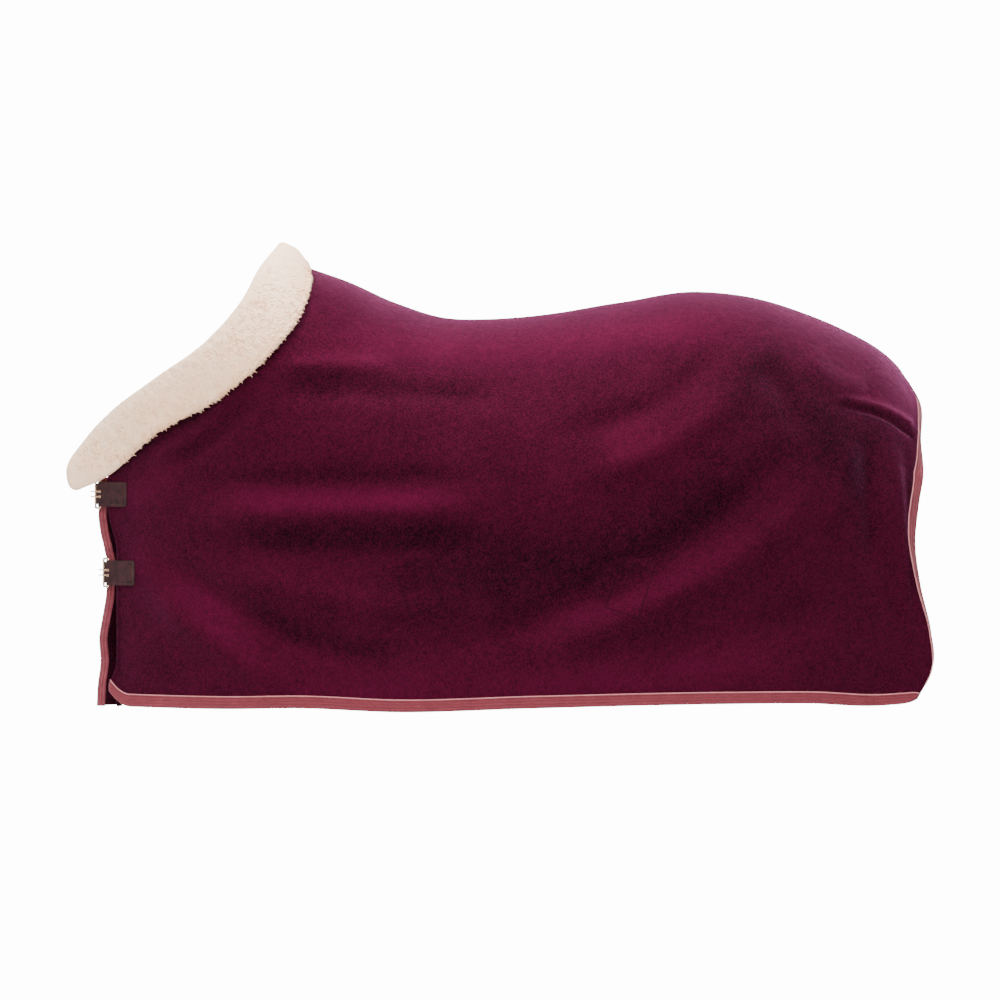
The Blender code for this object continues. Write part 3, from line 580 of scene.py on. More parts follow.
def fleece_material(name, sheen):
    """Velour fleece, whose colour follows the painted light and shade stored on the cloth."""
    made, tree, shader = new_material(name)
    pile = use_group(tree, MOTTLE, {"Fine": 420.0, "Broad": 9.0})
    sewn = maths(tree, "MAXIMUM", stitched_outline(tree, GIRTH_PATCHES[0]),
                 stitched_outline(tree, GIRTH_PATCHES[1]))
    # Painted light and shade stored on the cloth's points, which lightens or darkens the colour
    lie = put(tree, "ShaderNodeAttribute", attribute_name="painted_shading").outputs["Fac"]
    where = put(tree, "ShaderNodeTexCoord").outputs["Object"]
    grain = put(tree, "ShaderNodeTexNoise", {"Vector": where, "Scale": 270.0, "Detail": 2.0}).outputs[0]
    share = maths(tree, "ADD", maths(tree, "MULTIPLY", pile["Mask"], 0.34),
                  maths(tree, "MULTIPLY", maths(tree, "POWER", lie, 1.3), 0.62))
    share = maths(tree, "ADD", share, ramp(tree, grain, 0.36, 0.64, -0.17, 0.21))
    colour = mix(tree, share, (0.0044, 0.0004, 0.0017, 1.0), (0.0740, 0.0028, 0.0200, 1.0))
    colour = mix(tree, maths(tree, "MULTIPLY", sewn, 0.45), colour, (0.014, 0.0005, 0.005, 1.0))
    height = maths(tree, "SUBTRACT", pile["Height"], maths(tree, "MULTIPLY", sewn, 0.9))
    bump = put(tree, "ShaderNodeBump", {"Height": height, "Strength": 0.75, "Distance": 0.0024})
    tree.links.new(colour, shader.inputs["Base Color"])
    tree.links.new(bump.outputs[0], shader.inputs["Normal"])
    tree.links.new(ramp(tree, pile["Mask"], 0.0, 1.0, 0.95, 0.80), shader.inputs["Roughness"])
    shader.inputs["Specular IOR Level"].default_value = 0.03
    shader.inputs["Sheen Weight"].default_value = sheen
    shader.inputs["Sheen Roughness"].default_value = 0.34
    shader.inputs["Sheen Tint"].default_value = (0.88, 0.24, 0.58, 1.0)
    return made


def fur_material():
    made, tree, shader = new_material("cream_fur")
    pile = use_group(tree, MOTTLE, {"Fine": 210.0, "Broad": 16.0})
    colour = mix(tree, pile["Mask"], (0.98, 0.62, 0.39, 1.0), (1.0, 0.74, 0.53, 1.0))
    bump = put(tree, "ShaderNodeBump", {"Height": pile["Height"], "Strength": 0.28, "Distance": 0.003})
    tree.links.new(colour, shader.inputs["Base Color"])
    tree.links.new(bump.outputs[0], shader.inputs["Normal"])
    tree.links.new(ramp(tree, pile["Mask"], 0.0, 1.0, 0.95, 0.80), shader.inputs["Roughness"])
    shader.inputs["Specular IOR Level"].default_value = 0.08
    shader.inputs["Sheen Weight"].default_value = 0.14
    shader.inputs["Sheen Roughness"].default_value = 0.5
    shader.inputs["Sheen Tint"].default_value = (1.0, 0.84, 0.70, 1.0)
    return made


def woven_material(name, dark, light, pitch):
    """Ribbed webbing: fine cross threads on the piece's own UV map, in metres."""
    made, tree, shader = new_material(name)
    pile = use_group(tree, MOTTLE, {"Fine": 600.0, "Broad": 30.0})
    where = put(tree, "ShaderNodeUVMap", uv_map="surface").outputs[0]
    parts = put(tree, "ShaderNodeSeparateXYZ", {0: where}).outputs
    along = maths(tree, "PINGPONG", parts[0], pitch / 2)
    over = maths(tree, "PINGPONG", parts[1], pitch * 0.6)
    thread = maths(tree, "MULTIPLY", ramp(tree, along, 0.0, pitch / 2),
                   ramp(tree, over, 0.0, pitch * 0.6, 0.55, 1.0))
    share = maths(tree, "ADD", maths(tree, "MULTIPLY", thread, 0.55),
                  maths(tree, "MULTIPLY", pile["Mask"], 0.45))
    tree.links.new(mix(tree, share, dark, light), shader.inputs["Base Color"])
    height = maths(tree, "ADD", thread, maths(tree, "MULTIPLY", pile["Height"], 0.3))
    bump = put(tree, "ShaderNodeBump", {"Height": height, "Strength": 0.6, "Distance": 0.0006})
    tree.links.new(bump.outputs[0], shader.inputs["Normal"])
    tree.links.new(ramp(tree, share, 0.0, 1.0, 0.80, 0.58), shader.inputs["Roughness"])
    shader.inputs["Specular IOR Level"].default_value = 0.30
    shader.inputs["Sheen Weight"].default_value = 0.25
    shader.inputs["Sheen Tint"].default_value = (1.0, 0.62, 0.66, 1.0)
    return made


def tape_material():
    made, tree, shader = new_material("inner_tape")
    pile = use_group(tree, MOTTLE, {"Fine": 700.0, "Broad": 25.0})
    where = put(tree, "ShaderNodeTexCoord").outputs["Object"]
    weave = put(tree, "ShaderNodeTexWave", {"Vector": where, "Scale": 260.0, "Distortion": 0.4},
                bands_direction="DIAGONAL").outputs["Fac"]
    share = maths(tree, "ADD", maths(tree, "MULTIPLY", weave, 0.5),
                  maths(tree, "MULTIPLY", pile["Mask"], 0.5))
    tree.links.new(mix(tree, share, (0.075, 0.004, 0.016, 1.0), (0.190, 0.020, 0.050, 1.0)),
                   shader.inputs["Base Color"])
    bump = put(tree, "ShaderNodeBump", {"Height": share, "Strength": 0.4, "Distance": 0.0006})
    tree.links.new(bump.outputs[0], shader.inputs["Normal"])
    tree.links.new(ramp(tree, share, 0.0, 1.0, 0.9, 0.7), shader.inputs["Roughness"])
    return made


def leather_material():
    made, tree, shader = new_material("dark_brown_leather")
    where = put(tree, "ShaderNodeTexCoord").outputs["Object"]
    cells = put(tree, "ShaderNodeTexVoronoi", {"Vector": where, "Scale": 900.0},
                feature="DISTANCE_TO_EDGE").outputs[0]
    grain = ramp(tree, cells, 0.0, 0.25)
    cloud = put(tree, "ShaderNodeTexNoise", {"Vector": where, "Scale": 75.0, "Detail": 5.0}).outputs[0]
    scuff = put(tree, "ShaderNodeTexNoise", {"Vector": where, "Scale": 260.0, "Detail": 4.0}).outputs[0]
    share = maths(tree, "ADD", maths(tree, "MULTIPLY", cloud, 0.65), maths(tree, "MULTIPLY", scuff, 0.35))
    colour = mix(tree, ramp(tree, share, 0.38, 0.62), (0.014, 0.0030, 0.0042, 1.0),
                 (0.046, 0.0125, 0.0150, 1.0))
    colour = mix(tree, ramp(tree, grain, 0.0, 1.0, 0.35, 0.0), colour, (0.012, 0.005, 0.005, 1.0))
    bump = put(tree, "ShaderNodeBump", {"Height": maths(tree, "ADD", grain, cloud), "Strength": 0.35,
                                        "Distance": 0.0004})
    tree.links.new(colour, shader.inputs["Base Color"])
    tree.links.new(bump.outputs[0], shader.inputs["Normal"])
    tree.links.new(ramp(tree, share, 0.35, 0.65, 0.46, 0.66), shader.inputs["Roughness"])
    shader.inputs["Specular IOR Level"].default_value = 0.22
    return made


def brass_material():
    made, tree, shader = new_material("rose_brass")
    where = put(tree, "ShaderNodeTexCoord").outputs["Object"]
    smudge = put(tree, "ShaderNodeTexNoise", {"Vector": where, "Scale": 320.0, "Detail": 5.0}).outputs[0]
    brush = put(tree, "ShaderNodeTexNoise", {"Vector": where, "Scale": 1400.0, "Detail": 2.0}).outputs[0]
    colour = mix(tree, ramp(tree, smudge, 0.4, 0.6), (0.72, 0.42, 0.26, 1.0), (0.92, 0.66, 0.45, 1.0))
    tree.links.new(colour, shader.inputs["Base Color"])
    tree.links.new(ramp(tree, smudge, 0.3, 0.7, 0.14, 0.34), shader.inputs["Roughness"])
    bump = put(tree, "ShaderNodeBump", {"Height": brush, "Strength": 0.12, "Distance": 0.0003})
    tree.links.new(bump.outputs[0], shader.inputs["Normal"])
    shader.inputs["Metallic"].default_value = 1.0
    return made


def thread_material():
    made, tree, shader = new_material("sewing_thread")
    pile = use_group(tree, MOTTLE, {"Fine": 1800.0, "Broad": 120.0})
    tree.links.new(mix(tree, pile["Mask"], (0.050, 0.018, 0.018, 1.0), (0.150, 0.062, 0.058, 1.0)),
                   shader.inputs["Base Color"])
    tree.links.new(ramp(tree, pile["Mask"], 0.0, 1.0, 0.75, 0.5), shader.inputs["Roughness"])
    return made


FLEECE_FINISH = fleece_material("burgundy_velour_fleece", 0.52)
# A copy of the fleece with its sheen taken away, as painted shade on the turned edges and the front rim
SHADED_FLEECE_FINISH = fleece_material("burgundy_fleece_in_shade", 0.05)
FUR_FINISH = fur_material()
WEBBING_FINISH = woven_material("rose_webbing", (0.085, 0.0050, 0.013, 1.0),
                                (0.265, 0.034, 0.052, 1.0), 0.0016)
PIPING_FINISH = woven_material("pale_piping", (0.40, 0.12, 0.13, 1.0), (0.66, 0.29, 0.29, 1.0), 0.0010)
TAPE_FINISH = tape_material()
LEATHER_FINISH = leather_material()
BRASS_FINISH = brass_material()
THREAD_FINISH = thread_material()


# Cloth


def side_name(side):
    return "far" if side > 0 else "near"


def crowded(share, centre, width, gain):
    """Shares from 0 to 1 whose steps are finer round centre."""
    table = np.linspace(0, 1, 801)
    dense = 1 + gain * np.exp(-(((table - centre) / width) ** 2))
    total = np.concatenate([[0.0], np.cumsum((dense[1:] + dense[:-1]) / 2)])
    return np.interp(share, total / total[-1], table)


# Columns and rows of the cloth, and where they are finer: centre, width and gain
CLOTH_GRID = (264, 148)
FINE_TAIL = (0.97, 0.09, 1.8)
FINE_ARCH = (0.30, 0.10, 1.3)


def side_cloth(side):
    """One side's cloth from the back seam to the hem, bending at the shoulder."""
    def place(i, j):
        return cloth(crowded(i, *FINE_TAIL), crowded(j, *FINE_ARCH))

    bm = shaped_grid(*CLOTH_GRID, place, (1.9, 1.2), side)
    name = side_name(side)
    piece = finished(name + "_fleece", bm, FLEECE_FINISH, FLEECE)
    spots = np.array([vert.co for vert in piece.data.vertices])
    # Painted light and shade of the folds and under the collar, stored per point for the fleece's colour
    lie = piece.data.attributes.new("painted_shading", "FLOAT", "POINT")
    lie.data.foreach_set("value", painted_shading(spots[:, 0], spots[:, 2]).astype(np.float32))
    # Faces along the front rim take the fleece copy with its sheen taken away, as painted shade
    piece.data.materials.append(SHADED_FLEECE_FINISH)
    for face in piece.data.polygons:
        x, _, z = face.center
        face.material_index = int(z < FAR_EDGE_TOP and x < float(front_edge_x(z)) + SHADED_RIM)
    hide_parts(name + "_flank_panel", name + "_front_panel", name + "_rump_dart")
    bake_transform(piece)
    return piece


# Across a folded binding: the shares at which its outer face and its turn end, and the turn's depth
BAND_OUTER = 0.52
BAND_TURN = 0.60
BAND_TURN_DEPTH = 0.6
HEM_WRAP = 0.022
TAIL_WRAP = 0.020


def band_profile(share, band, wrap):
    """Distance past the cloth's edge and lift off its face, outer edge first."""
    outer, turn = BAND_OUTER, BAND_TURN
    lift = TRIM_GAP + WEBBING
    under = FLEECE + TRIM_GAP + WEBBING
    middle = (lift + under) / 2
    rib = RIB_HEIGHT * np.cos(2 * math.pi * share / outer * band / RIB_PITCH)
    face = np.clip(share / outer, 0.0, 1.0)
    angle = np.clip((share - outer) / (turn - outer), 0.0, 1.0) * math.pi
    back = np.clip((share - turn) / (1 - turn), 0.0, 1.0)
    past = np.where(share < outer, band * (face - 1.0),
                    np.where(share < turn, middle * BAND_TURN_DEPTH * np.sin(angle), -wrap * back))
    height = np.where(share < outer, lift + rib,
                      np.where(share < turn, lift - middle * (1 - np.cos(angle)), -under))
    return past, height


def hem_band(u):
    """Width of the hem's binding, which runs out towards the rear corner."""
    taper = REAR_TAPER / RUG_LENGTH
    return HEM_BAND * (1 - REAR_TAPER_SHARE * smoothstep((u - 1 + taper) / taper))


def hem_line(side):
    """The hem's binding and piping on one side, which bend at the shoulder with the cloth."""
    name = side_name(side)
    last = 1 - TAIL_BAND / RUG_LENGTH

    def place(i, j):
        u = i * last
        past, height = band_profile(j, hem_band(u), HEM_WRAP)
        v = above_hem(u, -np.minimum(past, 0.0))
        leave, normal = edge_frame(u, np.ones_like(u), 0.0, 0.01)
        return cloth(u, v) + leave * np.maximum(past, 0.0)[:, None] + normal * height[:, None]

    bm = shaped_grid(300, 44, place, (1.87, 0.066), side)
    band = finished(name + "_hem_binding", bm, WEBBING_FINISH, WEBBING)
    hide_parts(name + "_hem_binding_front", name + "_hem_binding_rear")
    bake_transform(band)
    u = np.linspace(0, last - 0.002, 320)
    v = above_hem(u, hem_band(u) + 0.0010)
    cord = tube(name + "_hem_piping", mirrored(side, cloth(u, v, PIPING_RADIUS + TRIM_GAP)), PIPING_RADIUS,
                PIPING_FINISH)
    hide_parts(name + "_hem_piping_front", name + "_hem_piping_rear")
    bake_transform(cord)
    return [band, cord]


def both_sides(u, across, lift=0.0):
    """Lifted points on lines round the whole rug: across runs from -1, far hem, to 1, near hem."""
    spots = cloth(u, np.abs(across), lift)
    spots[..., 1] *= np.where(across < 0, -1.0, 1.0)
    return spots


def tail_edge():
    """The tail edge's binding and piping, in one piece over the dock."""
    def place(i, j):
        past, height = band_profile(i, TAIL_BAND, TAIL_WRAP)
        across = 2 * j - 1
        u = 1 + np.minimum(past, 0.0) / RUG_LENGTH
        one = np.ones_like(u)
        leave, normal = edge_frame(one, np.abs(across), 0.01, 0.0)
        spots = cloth(u, np.abs(across)) + leave * np.maximum(past, 0.0)[:, None] + normal * height[:, None]
        spots[:, 1] *= np.where(across < 0, -1.0, 1.0)
        return spots

    bm = shaped_grid(44, 300, place, (0.060, 1.9))
    for face in bm.faces:
        for loop in face.loops:
            uv = loop[bm.loops.layers.uv["surface"]]
            uv.uv = (uv.uv.y, uv.uv.x)
    band = finished("tail_edge_binding", bm, WEBBING_FINISH, WEBBING)
    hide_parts("tail_binding")
    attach(band, "rug_body")
    across = np.linspace(-0.955, 0.955, 320)
    u = np.full_like(across, 1 - (TAIL_BAND + 0.0016) / RUG_LENGTH)
    cord = tube("tail_edge_piping", both_sides(u, across, PIPING_RADIUS + TRIM_GAP), PIPING_RADIUS,
                PIPING_FINISH)
    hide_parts("tail_piping")
    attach(cord, "rug_body")
    return [band, cord]


# Collar


COLLAR_HEIGHT = 0.0165
COLLAR_INSIDE = 0.0045
COLLAR_MIDDLE = 0.0040
COLLAR_SPAN = (-0.075, 1.0)
COLLAR_LENGTH = 1.02
CREST_ROUNDING = 0.30
CREST_SINK = (0.0115, 0.0095)
CREST_BULGE = 0.35
TIP_DROOP = (-0.004, -0.012)
TIP_NARROWING = 0.70
CROSS_SQUARENESS = 0.62

# Uneven pile: height, waves per metre and where the noise starts
PILE_WAVES = [(0.0022, 62.0, 3.0), (0.0014, 170.0, 9.0)]

# Locks of pile: how many, where along and across the collar, length, radius, and how far they stand off
LOCKS = [(3400, (0.02, 0.95), (0.03, 0.86), 0.0105, 0.0030, 0.06),
         (1500, (0.02, 0.94), (-0.070, 0.0), 0.0135, 0.0026, 0.06)]
LOCK_SWING = 0.30
LOCK_ROOT = 0.0022
LOCK_BATCH = 80


def collar_face(t, w):
    """Points of the collar's middle face on the near side: t from the crest to the chest."""
    along = t * t / (t + 0.25) * 1.25
    inner = curve_points(NECK_EDGE, along)
    outer = curve_points(COLLAR_EDGE, along)
    crest = (1 - smoothstep(t / CREST_ROUNDING))[..., None]
    droop = np.array(TIP_DROOP) * smoothstep((t - 0.80) / 0.20)[..., None]
    flat = inner + (outer - inner) * w[..., None] + droop
    y = np.where(t < 1e-6, 0.0, side_y(flat[..., 0], flat[..., 1]))
    flat = flat - np.array(CREST_SINK) * crest
    return np.stack([flat[..., 0], -y, flat[..., 1]], axis=-1)


def collar_spots(t, w, lift):
    """Points lifted off the collar's middle face along its normal, and the normals."""
    step = 0.01
    along = collar_face(t + step, w) - collar_face(np.maximum(t - step, 0.0), w)
    over = collar_face(t, w + step) - collar_face(t, w - step)
    normal = np.cross(over, along)
    normal /= np.maximum(np.linalg.norm(normal, axis=-1, keepdims=True), 1e-12)
    return collar_face(t, w) + normal * np.asarray(lift)[..., None], normal


def ruffle(spots, scale, seed):
    """Smooth noise at each point, the same on both sides of the rug."""
    places = [Vector((x * scale + seed, abs(y) * scale, z * scale)) for x, y, z in spots]
    return np.array([noise.noise(place) for place in places])


def collar_half(side):
    """One side's padded fur collar, from the crest to the chest."""
    low, high = COLLAR_SPAN
    name = side_name(side)

    def place(t, j):
        angle = (j - 0.25) * 2 * math.pi
        tip = np.clip((t - 0.90) / 0.10, 0.0, 1.0)
        narrow = np.sqrt(1 - TIP_NARROWING * tip**8)
        w = (low + high) / 2 - (high - low) / 2 * np.cos(angle) * narrow
        rise = np.sin(angle)
        full = np.sign(rise) * np.abs(rise) ** CROSS_SQUARENESS
        crest = 1 - smoothstep(t / CREST_ROUNDING)
        fuller = 1 + CREST_BULGE * crest * np.sin(np.clip(w, 0.0, 1.0) * math.pi)
        lift = COLLAR_MIDDLE + np.where(full > 0, COLLAR_HEIGHT * fuller, COLLAR_INSIDE) * full * narrow
        smooth_spots, _ = collar_spots(t, w, lift)
        fuzz = sum(rise * ruffle(smooth_spots, scale, start) for rise, scale, start in PILE_WAVES)
        spots, _ = collar_spots(t, w, lift + fuzz * np.where(full > 0, 1.0, -0.6))
        return spots

    bm = shaped_grid(380, 64, place, (COLLAR_LENGTH, 0.25), -1)
    bmesh.ops.remove_doubles(bm, verts=bm.verts, dist=2e-5)
    loops = [edge for edge in bm.edges if edge.is_boundary]
    bmesh.ops.holes_fill(bm, edges=loops, sides=0)
    bmesh.ops.recalc_face_normals(bm, faces=bm.faces)
    add_tufts(bm, side)
    if side > 0:
        for vert in bm.verts:
            vert.co.y = -vert.co.y
        bmesh.ops.reverse_faces(bm, faces=bm.faces)
    piece = finished(name + "_fur_collar", bm, FUR_FINISH)
    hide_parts(name + "_collar_front", "collar_crest")
    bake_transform(piece)


def add_tufts(bm, side):
    """Short locks of pile that lie down over the collar's face and hang ragged from its lower edge."""
    rng = random.Random(11 + side)
    places = []
    for count, along, over, length, radius, stand in LOCKS:
        for _ in range(count):
            places.append((rng.uniform(*along), rng.uniform(*over), length, radius, stand))
    t = np.array([p[0] for p in places])
    w = np.array([p[1] for p in places])
    middle = (COLLAR_SPAN[0] + COLLAR_SPAN[1]) / 2
    half = (COLLAR_SPAN[1] - COLLAR_SPAN[0]) / 2
    crown = np.clip(1 - ((w - middle) / half) ** 2, 0.0, 1.0) ** 0.31
    spots, normals = collar_spots(t, w, COLLAR_MIDDLE + COLLAR_HEIGHT * crown - LOCK_ROOT)
    below, _ = collar_spots(t, w - 0.04, COLLAR_MIDDLE + COLLAR_HEIGHT * crown)
    locks = []
    for spot, normal, low, (_, _, length, radius, stand) in zip(spots, normals, below, places):
        spot, normal = Vector(spot), Vector(normal)
        lie = (Vector(low) - spot).normalized()
        swing = Vector([rng.gauss(0, LOCK_SWING) for _ in range(3)])
        point = (lie + normal * (stand + rng.uniform(-0.05, 0.10)) + swing).normalized()
        size = length * rng.uniform(0.55, 1.15)
        turn = point.to_track_quat("Z", "Y").to_matrix().to_4x4()
        there = Matrix.Translation(spot + point * size * 0.42) @ turn
        locks.append((there, radius * rng.uniform(0.8, 1.2), size))
    for first in range(0, len(locks), LOCK_BATCH):
        few = bmesh.new()
        for there, radius, size in locks[first:first + LOCK_BATCH]:
            bmesh.ops.create_cone(few, cap_ends=True, segments=5, radius1=radius, radius2=0.0002,
                                  depth=size, matrix=there)
        mesh = bpy.data.meshes.new("locks")
        few.to_mesh(mesh)
        few.free()
        bm.from_mesh(mesh)
        bpy.data.meshes.remove(mesh)


# Chest


def edge_sway(z):
    """How the loose front edge of the far panel swings forward towards the hem."""
    return graph_height(EDGE_SWAY, z)


def chest_strip(path, start, end, top, lift, facing, sway):
    """Placer for a strip down the chest whose plan is the path between two of its shares."""
    def place(i, j):
        z = top + (HEM_BOTTOM - top) * j

        def spot(share):
            flat = curve_points(path, share)
            width = side_y(chest_line(z) + NEAR_EDGE_X, z) / abs(path[0][1])
            shift = edge_sway(z) * smoothstep(share / 0.7) if sway else 0.0
            return np.stack([chest_line(z) + flat[:, 0] + shift, flat[:, 1] * width, z], axis=-1)

        share = start + (end - start) * i
        along = spot(share + 0.01) - spot(share - 0.01)
        along[:, 2] = 0.0
        along /= np.linalg.norm(along, axis=-1, keepdims=True)
        out = np.stack([along[:, 1], -along[:, 0], np.zeros_like(z)], axis=-1) * facing
        height = lift(i, j) if callable(lift) else lift
        return spot(share) + out * np.asarray(height)[..., None]

    return place


def ribbed(width, base):
    """Lift of a ribbed band of this width, about its base."""
    def lift(i, j):
        return base + RIB_HEIGHT * np.cos(2 * math.pi * i * width / RIB_PITCH)

    return lift


# The turned fleece edges wear the copy with its sheen taken away, as painted shade
# Turned edges and bindings down the chest opening: name, body, node, slot, plan, its shares, top, lift,
# columns, rows, size, facing, sway, finish and thickness
CHEST_EDGES = [
    ("near_front_turned_edge", "near_front", "near_front_facing", "fleece", NEAR_TURN, (0.02, 0.62),
     NEAR_EDGE_TOP, 0.0, 30, 150, (0.03, 0.51), -1, False, SHADED_FLEECE_FINISH, FLEECE),
    ("near_front_edge_binding", "near_front", "near_front_binding", "webbing", NEAR_TURN, (0.615, 1.0),
     NEAR_EDGE_TOP, 0.0, 24, 150, (0.51, 0.02), -1, False, WEBBING_FINISH, FLEECE),
    ("far_front_turned_edge", "far_front", "far_front_facing", "fleece", FAR_TURN, (0.015, 0.82),
     FAR_EDGE_TOP, 0.0, 60, 180, (0.12, 0.49), 1, True, SHADED_FLEECE_FINISH, FLEECE),
    ("far_front_edge_binding", "far_front", "far_front_binding", "webbing", FAR_TURN, (0.80, 1.0),
     FAR_EDGE_TOP, ribbed(0.026, 0.0012), 30, 180, (0.49, 0.03), 1, True, WEBBING_FINISH, 0.0062),
]


def chest_edges():
    for (name, body, node, slot, path, shares, top, lift, columns, rows, size, facing, sway, finish,
         thickness) in CHEST_EDGES:
        bm = shaped_grid(columns, rows, chest_strip(path, *shares, top, lift, facing, sway), size)
        if facing < 0:
            bmesh.ops.reverse_faces(bm, faces=bm.faces)
        piece = finished(name, bm, finish, thickness)
        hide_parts(node)
        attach(piece, body)


# Leather patches


def patch_plan(z):
    """Plan of a near patch's outer face, from its rear edge to the front and round the buckle's bar."""
    x0 = float(chest_line(np.array(z)))
    width = float(side_y(np.array(x0 + NEAR_EDGE_X), np.array(z))) / abs(NEAR_TURN[0][1])
    heel = np.array([HEEL_BAR[0], HEEL_BAR[1] * width])
    back = np.linspace(PATCH_LENGTH, PATCH_FRONT, 20)
    face = np.stack([back, -side_y(x0 + back, np.full_like(back, z)) - TRIM_GAP - LEATHER - 0.0003], axis=-1)
    lead = math.atan2(face[-1][1] - heel[1], face[-1][0] - heel[0])
    turn = np.linspace(lead - LOOP_START, lead - 2 * math.pi + LOOP_END, 30)
    radius = LOOP_BORE + LEATHER
    loop = heel + radius * np.stack([np.cos(turn), np.sin(turn)], axis=-1)
    return x0, face, np.concatenate([face, loop])


def near_patch(place, z):
    """A leather patch with a pressed border, closed round the bar, with a slot for each prong."""
    x0, face, plan = patch_plan(z)
    steps = np.concatenate([[0.0], np.cumsum(np.hypot(*np.diff(plan, axis=0).T))])
    total = steps[-1]
    flat_run = np.hypot(*np.diff(face, axis=0).T).sum()

    def place_spots(i, j):
        run = i * total
        x = np.interp(run, steps, plan[:, 0])
        y = np.interp(run, steps, plan[:, 1])
        from_corner = np.maximum(PATCH_CORNER - run, 0.0)
        round_off = PATCH_CORNER - np.sqrt(np.maximum(PATCH_CORNER**2 - from_corner**2, 0))
        across = (1 - 2 * j) * (PATCH_HALF - round_off)
        near = np.minimum(run, PATCH_HALF - np.abs((1 - 2 * j) * PATCH_HALF))
        border = sum(high * np.exp(-(((near - at) / width) ** 2)) for at, width, high in PRESSED_LINES)
        border = border * smoothstep((flat_run - run) / 0.004)
        return np.stack([x0 + x, y - border, z + across], axis=-1)

    bm = shaped_grid(110, 72, place_spots, (total, 2 * PATCH_HALF))
    bmesh.ops.reverse_faces(bm, faces=bm.faces)
    cut = []
    for face in bm.faces:
        middle = face.calc_center_median()
        if abs(abs(middle.z - z) - PRONG_SPACING / 2) < SLOT_HALF and middle.x < x0 + SLOT_BACK:
            cut.append(face)
    bmesh.ops.delete(bm, geom=cut, context="FACES")
    piece = finished("near_leather_patch_" + place, bm, LEATHER_FINISH, LEATHER)
    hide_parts("near_patch_" + place)
    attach(piece, "near_front")


def patch_stitching(place, z):
    """Short thread stitches along a near patch's lower, upper and rear edges."""
    x0, face, _ = patch_plan(z)
    height = 2 * (PATCH_HALF - STITCH_INSET)
    width = PATCH_LENGTH - STITCH_INSET - PATCH_FRONT

    def spot(across, up):
        x = PATCH_LENGTH - STITCH_INSET - across
        y = np.interp(x, face[::-1, 0], face[::-1, 1])
        return Vector((x0 + x, y + 0.0001, z - height / 2 + up))

    bm = bmesh.new()
    rows = [((0.0, 0.0), (1, 0), width), ((0.0, height), (1, 0), width), ((0.0, 0.0), (0, 1), height)]
    for (across, up), (over, rise), length in rows:
        count = int(length / STITCH_PITCH)
        for n in range(count):
            along = (n + 0.5) * length / count
            here = spot(across + over * along, up + rise * along)
            ahead = spot(across + over * (along + 0.001), up + rise * (along + 0.001))
            turn = (ahead - here).normalized().to_track_quat("X", "Z").to_matrix().to_4x4()
            there = Matrix.Translation(here) @ turn @ Matrix.Diagonal((*STITCH_SHAPE, 1.0))
            bmesh.ops.create_uvsphere(bm, u_segments=6, v_segments=4, radius=1.0, matrix=there)
    piece = finished("near_patch_stitching_" + place, bm, THREAD_FINISH)
    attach(piece, "near_front")


# Camera, floor and lights


def look_from(location, target):
    return (Vector(target) - Vector(location)).to_track_quat("-Z", "Y").to_euler()


# A long lens, level with the rug's near flank, that takes in this width
CAMERA_TARGET = (0.035, -0.25, -0.410)
CAMERA_DISTANCE = 45.0
CAMERA_LIFT = 1.0
CAMERA_SENSOR = 36.0
WIDTH_SEEN = 2.32


def make_camera():
    data = bpy.data.cameras.new("camera")
    data.sensor_width = CAMERA_SENSOR
    data.lens = CAMERA_SENSOR * CAMERA_DISTANCE / WIDTH_SEEN
    data.clip_end = 200.0
    camera = bpy.data.objects.new("camera", data)
    x, y, z = CAMERA_TARGET
    lift = CAMERA_DISTANCE * math.tan(math.radians(CAMERA_LIFT))
    camera.location = (x, y - CAMERA_DISTANCE, z + lift)
    camera.rotation_euler = look_from(camera.location, CAMERA_TARGET)
    bpy.context.scene.collection.objects.link(camera)
    bpy.context.scene.camera = camera


def soft_light(name, location, target, size, energy, colour=(1.0, 1.0, 1.0)):
    """A rectangular area light that faces its target."""
    data = bpy.data.lights.new(name, "AREA")
    data.shape = "RECTANGLE"
    data.size, data.size_y = size
    data.energy = energy
    data.color = colour
    lamp = bpy.data.objects.new(name, data)
    lamp.location = location
    lamp.rotation_euler = look_from(location, target)
    bpy.context.scene.collection.objects.link(lamp)


FILL_STRENGTH = 0.72
BACKDROP_STRENGTH = 14.0
FLOOR_HEIGHT = -1.50
FLOOR_HALF = 40.0


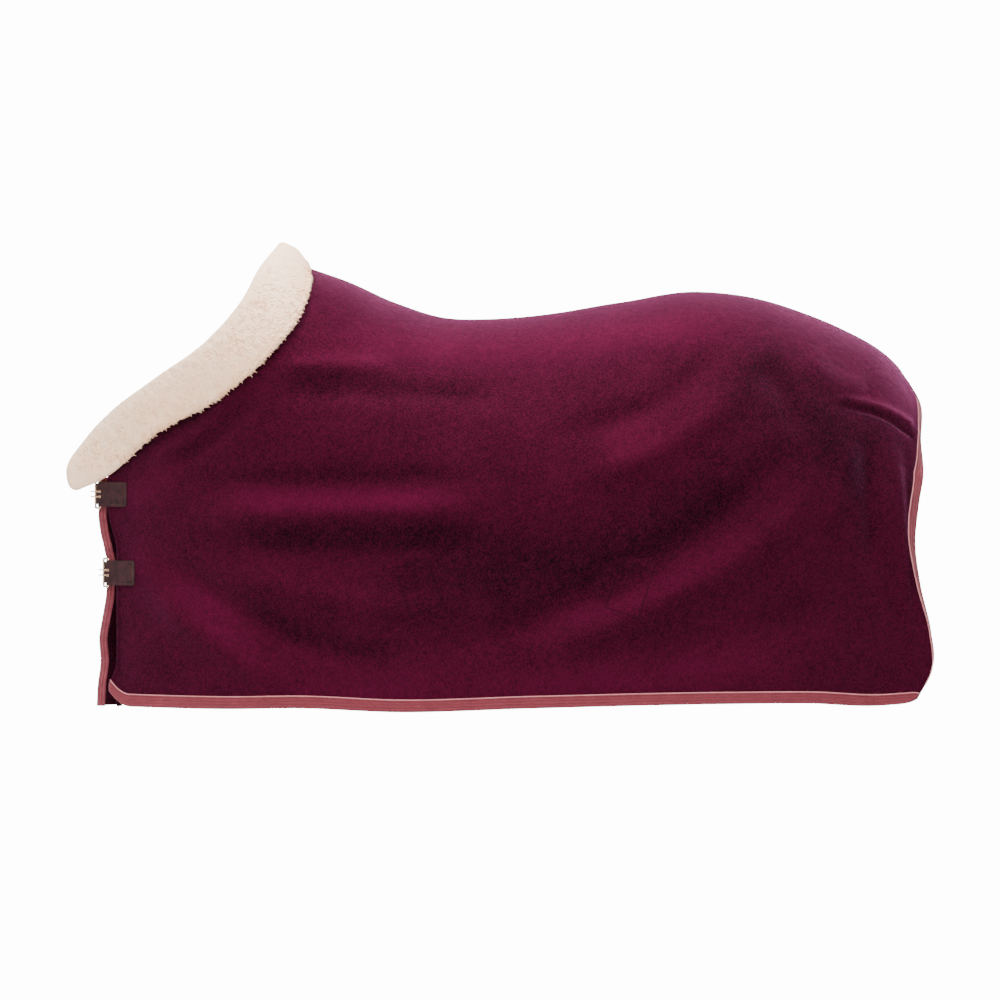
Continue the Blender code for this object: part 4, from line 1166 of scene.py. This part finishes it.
def make_studio():
    """Even light from a pale room, whose floor and walls are plain white to the camera."""
    world = bpy.data.worlds.new("studio")
    world.use_nodes = True
    tree = world.node_tree
    tree.nodes.clear()
    fill = put(tree, "ShaderNodeBackground", {"Color": (1.0, 0.99, 0.98, 1.0), "Strength": FILL_STRENGTH})
    seen = put(tree, "ShaderNodeBackground", {"Color": (1.0, 1.0, 1.0, 1.0),
                                              "Strength": BACKDROP_STRENGTH})
    path = put(tree, "ShaderNodeLightPath")
    both = put(tree, "ShaderNodeMixShader", {0: path.outputs["Is Camera Ray"], 1: fill.outputs[0],
                                             2: seen.outputs[0]})
    put(tree, "ShaderNodeOutputWorld", {0: both.outputs[0]})
    bpy.context.scene.world = world
    bm = bmesh.new()
    bmesh.ops.create_grid(bm, x_segments=1, y_segments=1, size=FLOOR_HALF)
    bmesh.ops.translate(bm, verts=bm.verts, vec=(0.0, 0.0, FLOOR_HEIGHT))
    made, tree, shader = new_material("pale_floor")
    spot = put(tree, "ShaderNodeTexCoord").outputs["Object"]
    cloud = put(tree, "ShaderNodeTexNoise", {"Vector": spot, "Scale": 0.6, "Detail": 3.0}).outputs[0]
    tree.links.new(mix(tree, cloud, (0.80, 0.80, 0.80, 1.0), (0.86, 0.86, 0.86, 1.0)),
                   shader.inputs["Base Color"])
    glow = put(tree, "ShaderNodeEmission", {"Color": (1.0, 1.0, 1.0, 1.0),
                                            "Strength": BACKDROP_STRENGTH})
    path = put(tree, "ShaderNodeLightPath")
    both = put(tree, "ShaderNodeMixShader", {0: path.outputs["Is Camera Ray"], 1: shader.outputs[0],
                                             2: glow.outputs[0]})
    tree.links.new(both.outputs[0], tree.nodes["Material Output"].inputs["Surface"])
    floor = finished("studio_floor", bm, made, smooth=False)
    soft_light("top_light", (0.1, -0.6, 3.6), (0.0, 0.0, -0.2), (4.5, 2.4), 600.0)
    soft_light("key_light", (-1.6, -4.6, 2.6), (0.0, 0.0, -0.3), (3.2, 2.4), 255.0,
               (1.0, 0.97, 0.94))
    soft_light("rear_light", (2.4, 2.8, 2.2), (0.2, 0.0, -0.1), (3.0, 2.0), 70.0)


make_camera()
make_studio()

for side in (-1, 1):
    side_cloth(side)
    hem_line(side)
    collar_half(side)
tail = tail_edge()
chest_edges()
for place, z in BUCKLE_HEIGHTS.items():
    near_patch(place, z)
    patch_stitching(place, z)

# Finishes of the pieces kept as they are, by a word in the name: a later word wins
FINISHES = {"patch": LEATHER_FINISH, "strap": LEATHER_FINISH, "buckle": BRASS_FINISH,
            "ring": BRASS_FINISH, "loop": TAPE_FINISH, "girth_patch": TAPE_FINISH, "tape": TAPE_FINISH}
for name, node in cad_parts.items():
    if node.hide_render:
        continue
    finish = LEATHER_FINISH
    for word, own in FINISHES.items():
        if word in name:
            finish = own
    for slot in node.material_slots:
        slot.material = finish
